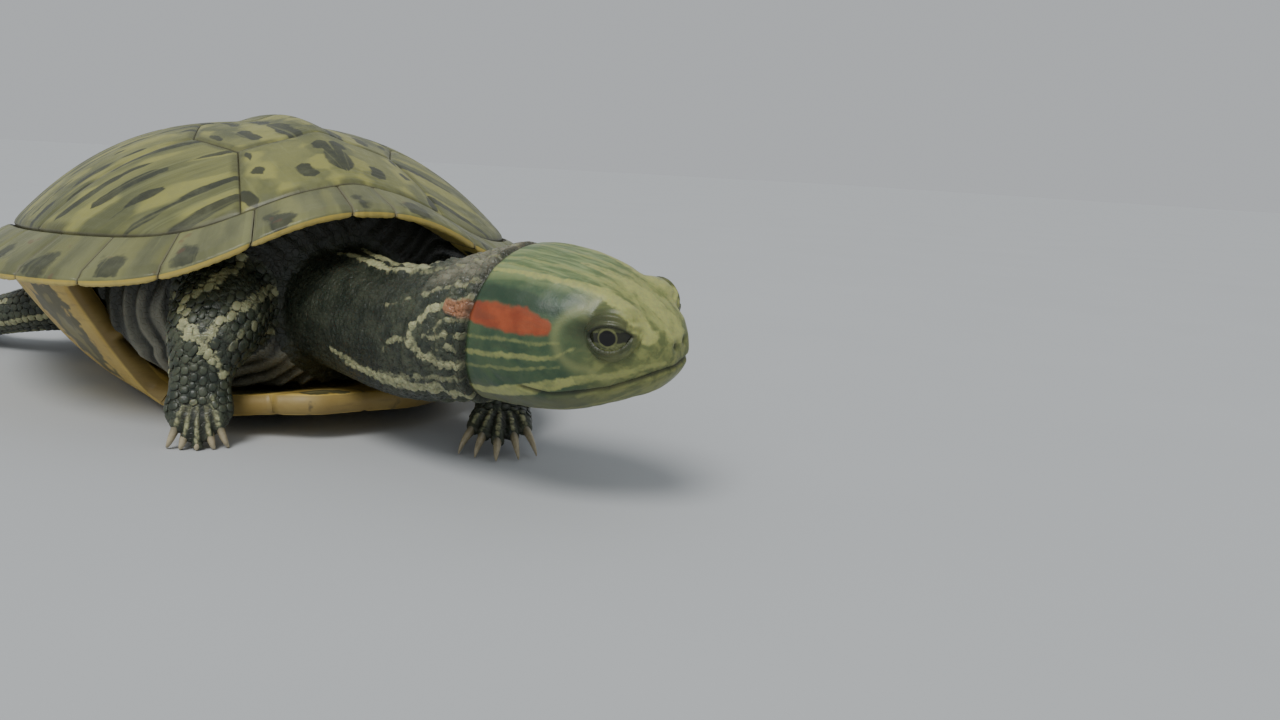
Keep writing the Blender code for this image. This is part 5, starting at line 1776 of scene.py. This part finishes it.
# Each scale's rings: share of its outline, height over the skin, and how much of a joint it is
SCALE_RINGS = ((1.0, -0.10, 1.0), (0.95, 0.03, 0.8), (0.78, 0.085, 0.15), (0.42, 0.115, 0.0))
SCALE_TOP = 0.125
SCALE_SIDES = 10
SCALE_SQUARENESS = 2.7
SCALE_SPREAD = 1.70  # half the size of a cell, from the spread of the skin's points in it
SCALE_HALF_SIZES = (0.24, 0.75)  # cells outside these have no scale
SCALE_LEAST_POINTS = 6
SCALE_FLATNESS = 0.16
SCALE_LEAST_Z = 0.25
SCALE_LIFT = 0.05  # how far the free end stands out from the skin, and the root goes in
SCALE_PATCH = 0.0015  # half the size of a scale's patch in the UV map
UNWRAP_MARGIN = 0.02


def scale_pattern():
    """One scale of half size 1: its points, how much of a joint each of them is, and its faces."""
    turn = 2 * pi * np.arange(SCALE_SIDES) / SCALE_SIDES
    outline = signed_power(np.stack((np.cos(turn), np.sin(turn))), 2.0 / SCALE_SQUARENESS)
    shares, heights, joints = np.array(SCALE_RINGS).T
    x, y = (np.append(np.outer(shares, line).ravel(), 0.0) for line in outline)
    z = np.append(np.repeat(heights, SCALE_SIDES), SCALE_TOP) + SCALE_LIFT * x
    joint = np.append(np.repeat(joints, SCALE_SIDES), 0.0)
    faces = [tuple(range(SCALE_SIDES - 1, -1, -1))]
    for k in range(len(SCALE_RINGS) - 1):
        faces += ring_faces(k * SCALE_SIDES, (k + 1) * SCALE_SIDES, SCALE_SIDES)
    top = len(x) - 1
    last = top - SCALE_SIDES
    faces += [(last + k, last + (k + 1) % SCALE_SIDES, top) for k in range(SCALE_SIDES)]
    return np.stack((x, y, z)), joint, faces


def group_means(values, group):
    """The mean of values (n,) or (n, m) over each group of points."""
    amount = np.bincount(group)
    if np.ndim(values) == 1:
        return np.bincount(group, values) / amount
    return np.column_stack([np.bincount(group, column) / amount for column in values.T])


def cell_groups(free, middle, turned):
    """The free points, and which cell of the paving each is in."""
    chosen = np.flatnonzero(free)
    cells = np.round(np.column_stack((middle, turned))[chosen], 4)
    _, group = np.unique(cells, axis=0, return_inverse=True)
    return chosen, group.ravel()


def cell_frames(points, normals, distance, group):
    """The middle of each cell, its half axes along, across and out, and whether a scale fits it."""
    centre, normal = group_means(points, group), unit(group_means(normals, group))
    offset = points - centre[group]
    ahead = distance - group_means(distance, group)[group]
    heading = np.column_stack([np.bincount(group, column * ahead) for column in offset.T])
    heading -= normal * np.sum(heading * normal, axis=1, keepdims=True)
    heading /= lengths(heading)[:, None] + 1e-9
    side = np.cross(normal, heading)
    offsets = [np.sum(offset * axis[group], axis=1) for axis in (heading, side, normal)]
    spreads = [np.sqrt(group_means(along**2, group)) for along in offsets]
    half_long, half_wide = SCALE_SPREAD * spreads[0], SCALE_SPREAD * spreads[1]
    fits = (np.bincount(group) >= SCALE_LEAST_POINTS) & (centre[:, 2] > SCALE_LEAST_Z)
    fits &= spreads[2] < SCALE_FLATNESS
    for half_size in (half_long, half_wide):
        fits &= (half_size > SCALE_HALF_SIZES[0]) & (half_size < SCALE_HALF_SIZES[1])
    axes = (heading * half_long[:, None], side * half_wide[:, None], normal)
    return centre, axes, fits


def scale_coat(name, skin, plots, layers, material):
    """Small solid scales over a limb's skin, one on each cell of its paving, with their free ends
    outwards. A scale has one value of each layer, and the skin's stripes take it on below it."""
    pattern, joint, pattern_faces = scale_pattern()
    size = len(joint)
    placed, marks, roots = [], {key: [] for key in layers}, []
    for free, middle, turned, distance, root in plots:
        chosen, group = cell_groups(free, middle, turned)
        points, normals = skin.points[chosen], skin.normals[chosen]
        centre, axes, fits = cell_frames(points, normals, distance[chosen], group)
        made = centre[fits][:, None]
        for axis, local in zip(axes, pattern):
            made = made + axis[fits][:, None] * local[:, None]
        placed.append(made)
        below = fits[group]
        for key, values in layers.items():
            middles = group_means(values[chosen], group)
            marks[key].append(np.repeat(middles[fits], size, axis=0))
            if key in ("pale", "bright"):
                values[chosen[below]] = middles[group[below]]
        unwrapped = group_means(root[chosen], group)[fits][:, None] * (1.0 - 2 * UNWRAP_MARGIN)
        roots.append(UNWRAP_MARGIN + unwrapped + pattern[:2].T * SCALE_PATCH)
    placed = np.concatenate(placed)
    count = len(placed)
    faces = [tuple(corner + size * k for corner in face) for k in range(count) for face in pattern_faces]
    placed = rested(placed.reshape(-1, 3), 0.0)
    marks = {key: np.concatenate(values) for key, values in marks.items()}
    marks["joint"] = np.tile(joint, count)
    marks["plate"] = np.ones(len(placed))
    made = mesh_object(f"{name}_scales", placed, faces, material, marks)
    corners = np.empty(len(made.data.loops), np.int32)
    made.data.loops.foreach_get("vertex_index", corners)
    places = np.concatenate(roots).reshape(-1, 2)[corners]
    unwrap = made.data.uv_layers.new(name="OFBake")
    unwrap.data.foreach_set("uv", np.clip(places, 0.0, 1.0).ravel())
    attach(made, "root")


def brow_line():
    return [(x, radians(a) * head_radius(x), 0.0) for x, a, _ in BROW_STRIPE]


def head_radius(x):
    stations = np.array(HEAD_STATIONS)
    return np.interp(x, stations[:, 0], stations[:, 1] * 0.5 + stations[:, 2] * 0.5)


def mouth_distance(local):
    line = [(x, z, 0.0) for x, z in MOUTH_LINE]
    return line_distance(local[:, 0], local[:, 2], line)


def eye_shades(local, is_head):
    """Painted shade round each eye, darkest above and behind it, and how much the skin is part of the pale
    ring behind it.
    """
    brow_shade, halo = np.zeros(len(local)), np.zeros(len(local))
    for side in (1, -1):
        offset, place = eye_places(local, side)
        gap = opening_distance(place[:, 0], place[:, 1])
        beside = is_head & (place[:, 2] > 0.2) & (lengths(offset) < 6.0)
        rear = smooth((1.2 - place[:, 0]) / 2.4)
        above = smooth((place[:, 1] + 0.6) / 1.2)
        # Painted shade that the brow casts round the eye, darker above and behind it
        dark = bell(np.maximum(gap - 0.5 - 0.5 * rear, 0.0), 0.45 + 0.40 * above)
        brow_shade = np.maximum(brow_shade, beside * dark * (0.45 + 0.30 * above + 0.25 * rear))
        halo = np.maximum(halo, beside * bell(gap - 2.6, 0.45) * rear)
    return brow_shade, halo


def refine_head(mesh):
    """Halves the faces of the head, where the finest forms are."""
    mesh_data = bmesh.new()
    mesh_data.from_mesh(mesh)
    centre = (HEAD_CENTRE + SHIFT) * MM
    back = head_frame().to_3x3() @ Vector((1, 0, 0))
    near = []
    for edge in mesh_data.edges:
        offset = (edge.verts[0].co + edge.verts[1].co) / 2 - centre
        if offset.length < FINE_REACH * MM and offset.dot(back) > (HEAD_BACK_X - FINE_BEHIND) * MM:
            near.append(edge)
    bmesh.ops.subdivide_edges(mesh_data, edges=near, cuts=1, use_grid_fill=True)
    mesh_data.to_mesh(mesh)
    mesh_data.free()


def vertex_normals(mesh, points):
    mesh.vertices.foreach_set("co", ((points + np.array(SHIFT)) * MM).ravel())
    mesh.update()
    normals = np.empty(len(points) * 3)
    mesh.vertex_normals.foreach_get("vector", normals)
    return normals.reshape(-1, 3)


def neck_folds(points, angle, collar):
    """Loose rings of skin behind the head, and low lengthwise pleats further back."""
    wander = noise_3d(points * 0.22, 7)
    rings = np.sin(2 * pi * (-collar / 2.3 + 0.35 * wander))
    near = bell(np.maximum(0.0, -collar - 1.0), 7.5) * smooth(-collar / 1.5)
    pleats = np.sin(angle * 9 + 2.0 * wander)
    return 0.20 * rings * near + 0.07 * pleats * (1 - near) + 0.10 * wander


def pocket_folds(points, leg_distance):
    """Folds of soft skin round each leg, where it comes out of the shell."""
    wander = noise_3d(points * 0.25, 12)
    coarse = np.sin(2 * pi * (leg_distance / 1.7 + 0.55 * wander))
    fine = np.sin(2 * pi * (leg_distance / 0.75 + 1.1 * wander))
    return (0.75 * coarse + 0.25 * fine) * (0.7 + 0.6 * wander)


def foot_places(points, name):
    """Distance along a foot and across it, and the nearest toe or palm line as a share of its reach."""
    spec = LEGS[name]
    _, toes, top, ankle = foot_plan(spec, foot_size(name))
    forward = unit(np.array(spec["forward"]))
    offset = points - ankle
    distance, across = offset @ forward, offset @ np.cross(top, forward)
    nearest = np.full(len(points), 1e9)
    for toe in toes:
        for here, there in ((ankle + forward * 0.8, toe[0]), (toe[0], toe[1]), (toe[1], toe[2])):
            nearest = np.minimum(nearest, segment_distance(points, here, there))
    share = np.where(distance > FOOT_FROM, nearest / FOOT_REACH, FAR)
    return distance, across, share


def toe_stripes(points, name):
    """A pale line along the top of each toe."""
    _, toes, top, _ = foot_plan(LEGS[name], foot_size(name))
    nearest = np.full(len(points), 2.0)
    for toe in toes:
        lift = top * 1.25
        here, there = toe[1] * 0.2 + toe[0] * 0.8 + lift * 1.2, toe[2] + lift * 0.75
        nearest = np.minimum(nearest, segment_distance(points, here, there) - 0.22)
    return nearest


def toe_gaps(points, name):
    """Where the grooves between neighbouring toes run: 1 in the middle of a groove."""
    _, toes, _, ankle = foot_plan(LEGS[name], foot_size(name))
    reach = np.array([segment_distance(points, toe[0], toe[2]) for toe in toes])
    reach.sort(axis=0)
    along = (points - ankle) @ unit(np.array(LEGS[name]["forward"]))
    on_toes = smooth((along - foot_size(name)["length"] * 0.62) / 1.2)
    return bell(reach[1] - reach[0], 0.32) * on_toes


def claws(material):
    """The claws of each foot, one piece to a foot."""
    steps = np.linspace(0.0, 1.0, CLAW_STEPS)
    for name, spec in LEGS.items():
        _, toes, top, _ = foot_plan(spec, foot_size(name))
        points, faces = [], []
        for _, knuckle, tip, bend, point in toes:
            tip = rested(tip - unit(tip - knuckle) * CLAW_SHEATH, TOE_RADII[2] - FLOOR_BITE)
            bend, point = rested(bend, CLAW_BEND_Z), rested(point, CLAW_POINT_Z)
            root = tip - unit(bend - tip) * CLAW_ROOT
            rings = []
            for share in steps:
                a, b, c = (1 - share) ** 2, 2 * share * (1 - share), share**2
                centre = root * a + (bend + (bend - tip) * CLAW_ARCH) * b + point * c
                heading = unit((bend - root) * (1 - share) + (point - bend) * share)
                side = unit(np.cross(top, heading))
                radius = CLAW_RADIUS * (1 - share) ** CLAW_TAPER + CLAW_POINT_RADIUS
                upward = np.cross(heading, side)
                sizes = [radius * part for part in CLAW_SECTION]
                rings.append(ring(centre, side, upward, *sizes, 2.0, CLAW_SIDES))
            faces += loft_faces(CLAW_STEPS, CLAW_SIDES, len(points))
            points += rested(rings, 0.0).reshape(-1, 3).tolist()
        along = np.tile(np.repeat(steps, CLAW_SIDES), len(toes))
        made = mesh_object(name.replace("leg", "claws"), points, faces, material, {"along": along})
        outward_faces(made)
        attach(made, "root")


def eyes(material):
    for side_name, side in (("left", 1), ("right", -1)):
        centre, *axes = eye_frame(side)
        along, across, out = axes
        rings = []
        for turn in np.linspace(0.0, pi, EYE_RINGS):
            wide = max(sin(turn), 1e-3)
            circle = ring((0, 0, 0), along, across, wide, wide, -wide, 2.0, EYE_SIDES)
            rings.append((circle + out * cos(turn)) * (EYE_RADIUS - EYE_CLEARANCE))
        circles = np.concatenate(rings)
        placed = moved(circles + centre, head_frame())
        layers = {"gaze": circles @ np.stack(axes, 1)}
        faces = loft_faces(EYE_RINGS, EYE_SIDES)
        made = mesh_object(f"eye_ball_{side_name}", placed, faces, material, layers)
        outward_faces(made)
        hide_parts(f"eye_{side_name}")
        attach(made, "root")


# ---------------------------------------------------------------- camera, light and floor

CAMERA_TARGET = Vector((20.0, 0.0, 15.0))
CAMERA_AZIMUTH = radians(18.1)
CAMERA_ELEVATION = radians(6.64)
CAMERA_DISTANCE = 135.71
CAMERA_ROLL = radians(0.38)
CAMERA_TURN = radians(16.39)  # to the right of the line to the target
CAMERA_DIP = radians(3.86)  # below that line
CAMERA_LENS = 30.88
SENSOR_WIDTH = 36.0
CAMERA_CLIP = (0.005, 20.0)  # in metres
FLOOR_REACH = 4.0  # in metres
FLOOR_TINTS = ((0.475, 0.495, 0.510), (0.515, 0.535, 0.550))
SKY_COLOUR = (0.80, 0.83, 0.86, 1.0)
SKY_STRENGTH = 0.60


def camera():
    towards = Vector(
        (
            cos(CAMERA_ELEVATION) * cos(CAMERA_AZIMUTH),
            -cos(CAMERA_ELEVATION) * sin(CAMERA_AZIMUTH),
            sin(CAMERA_ELEVATION),
        )
    )
    made = linked("camera", bpy.data.cameras.new("camera"))
    made.data.lens = CAMERA_LENS
    made.data.sensor_width = SENSOR_WIDTH
    made.data.clip_start, made.data.clip_end = CAMERA_CLIP
    look = towards.to_track_quat("Z", "Y").to_matrix() @ Matrix.Rotation(CAMERA_ROLL, 3, "Z")
    turn = Matrix.Rotation(CAMERA_TURN, 3, "Y") @ Matrix.Rotation(CAMERA_DIP, 3, "X")
    made.matrix_world = (look @ turn.transposed()).to_4x4()
    made.location = (CAMERA_TARGET + SHIFT + towards * CAMERA_DISTANCE) * MM
    bpy.context.scene.camera = made


def light(name, kind, place, power, colour, **settings):
    """A lamp or a sun that shines from its place towards the middle of the turtle."""
    data = bpy.data.lights.new(name, kind)
    data.energy = power
    data.color = colour
    for key, value in settings.items():
        setattr(data, key, value)
    made = linked(name, data)
    made.location = place
    made.rotation_euler = Vector(place).to_track_quat("Z", "Y").to_euler()


def studio():
    light("key", "SUN", (0.45, -0.55, 0.95), 2.0, (1.0, 0.98, 0.95), angle=radians(24))
    light("window", "AREA", (0.30, -0.30, 0.34), 0.25, (0.97, 0.98, 1.0), size=0.20)
    world = bpy.data.worlds.new("studio")
    world.use_nodes = True
    background = world.node_tree.nodes["Background"]
    background.inputs["Color"].default_value = SKY_COLOUR
    background.inputs["Strength"].default_value = SKY_STRENGTH
    bpy.context.scene.world = world


def floor():
    """A pale floor, far wider than the turtle, that belongs to the scene and not to the part."""
    made = Finish("floor")
    specks = made.noise(made.places(), 0.02, detail=4.0)
    made.set(Base_Color=made.mix(specks, *FLOOR_TINTS), Roughness=0.8)
    mesh = bpy.data.meshes.new("floor")
    corners = [(x * FLOOR_REACH, y * FLOOR_REACH, 0) for x, y in ((-1, -1), (1, -1), (1, 1), (-1, 1))]
    mesh.from_pydata(corners, [], [(0, 1, 2, 3)])
    mesh.materials.append(made.material)
    linked("floor", mesh)


def main():
    horn = scute_finish()
    vertebrals(horn)
    costals(horn)
    marginals(horn)
    plastron(plastron_finish())
    skin_pieces(skin_finish())
    claws(claw_finish())
    eyes(eye_finish())
    camera()
    studio()
    floor()


main()
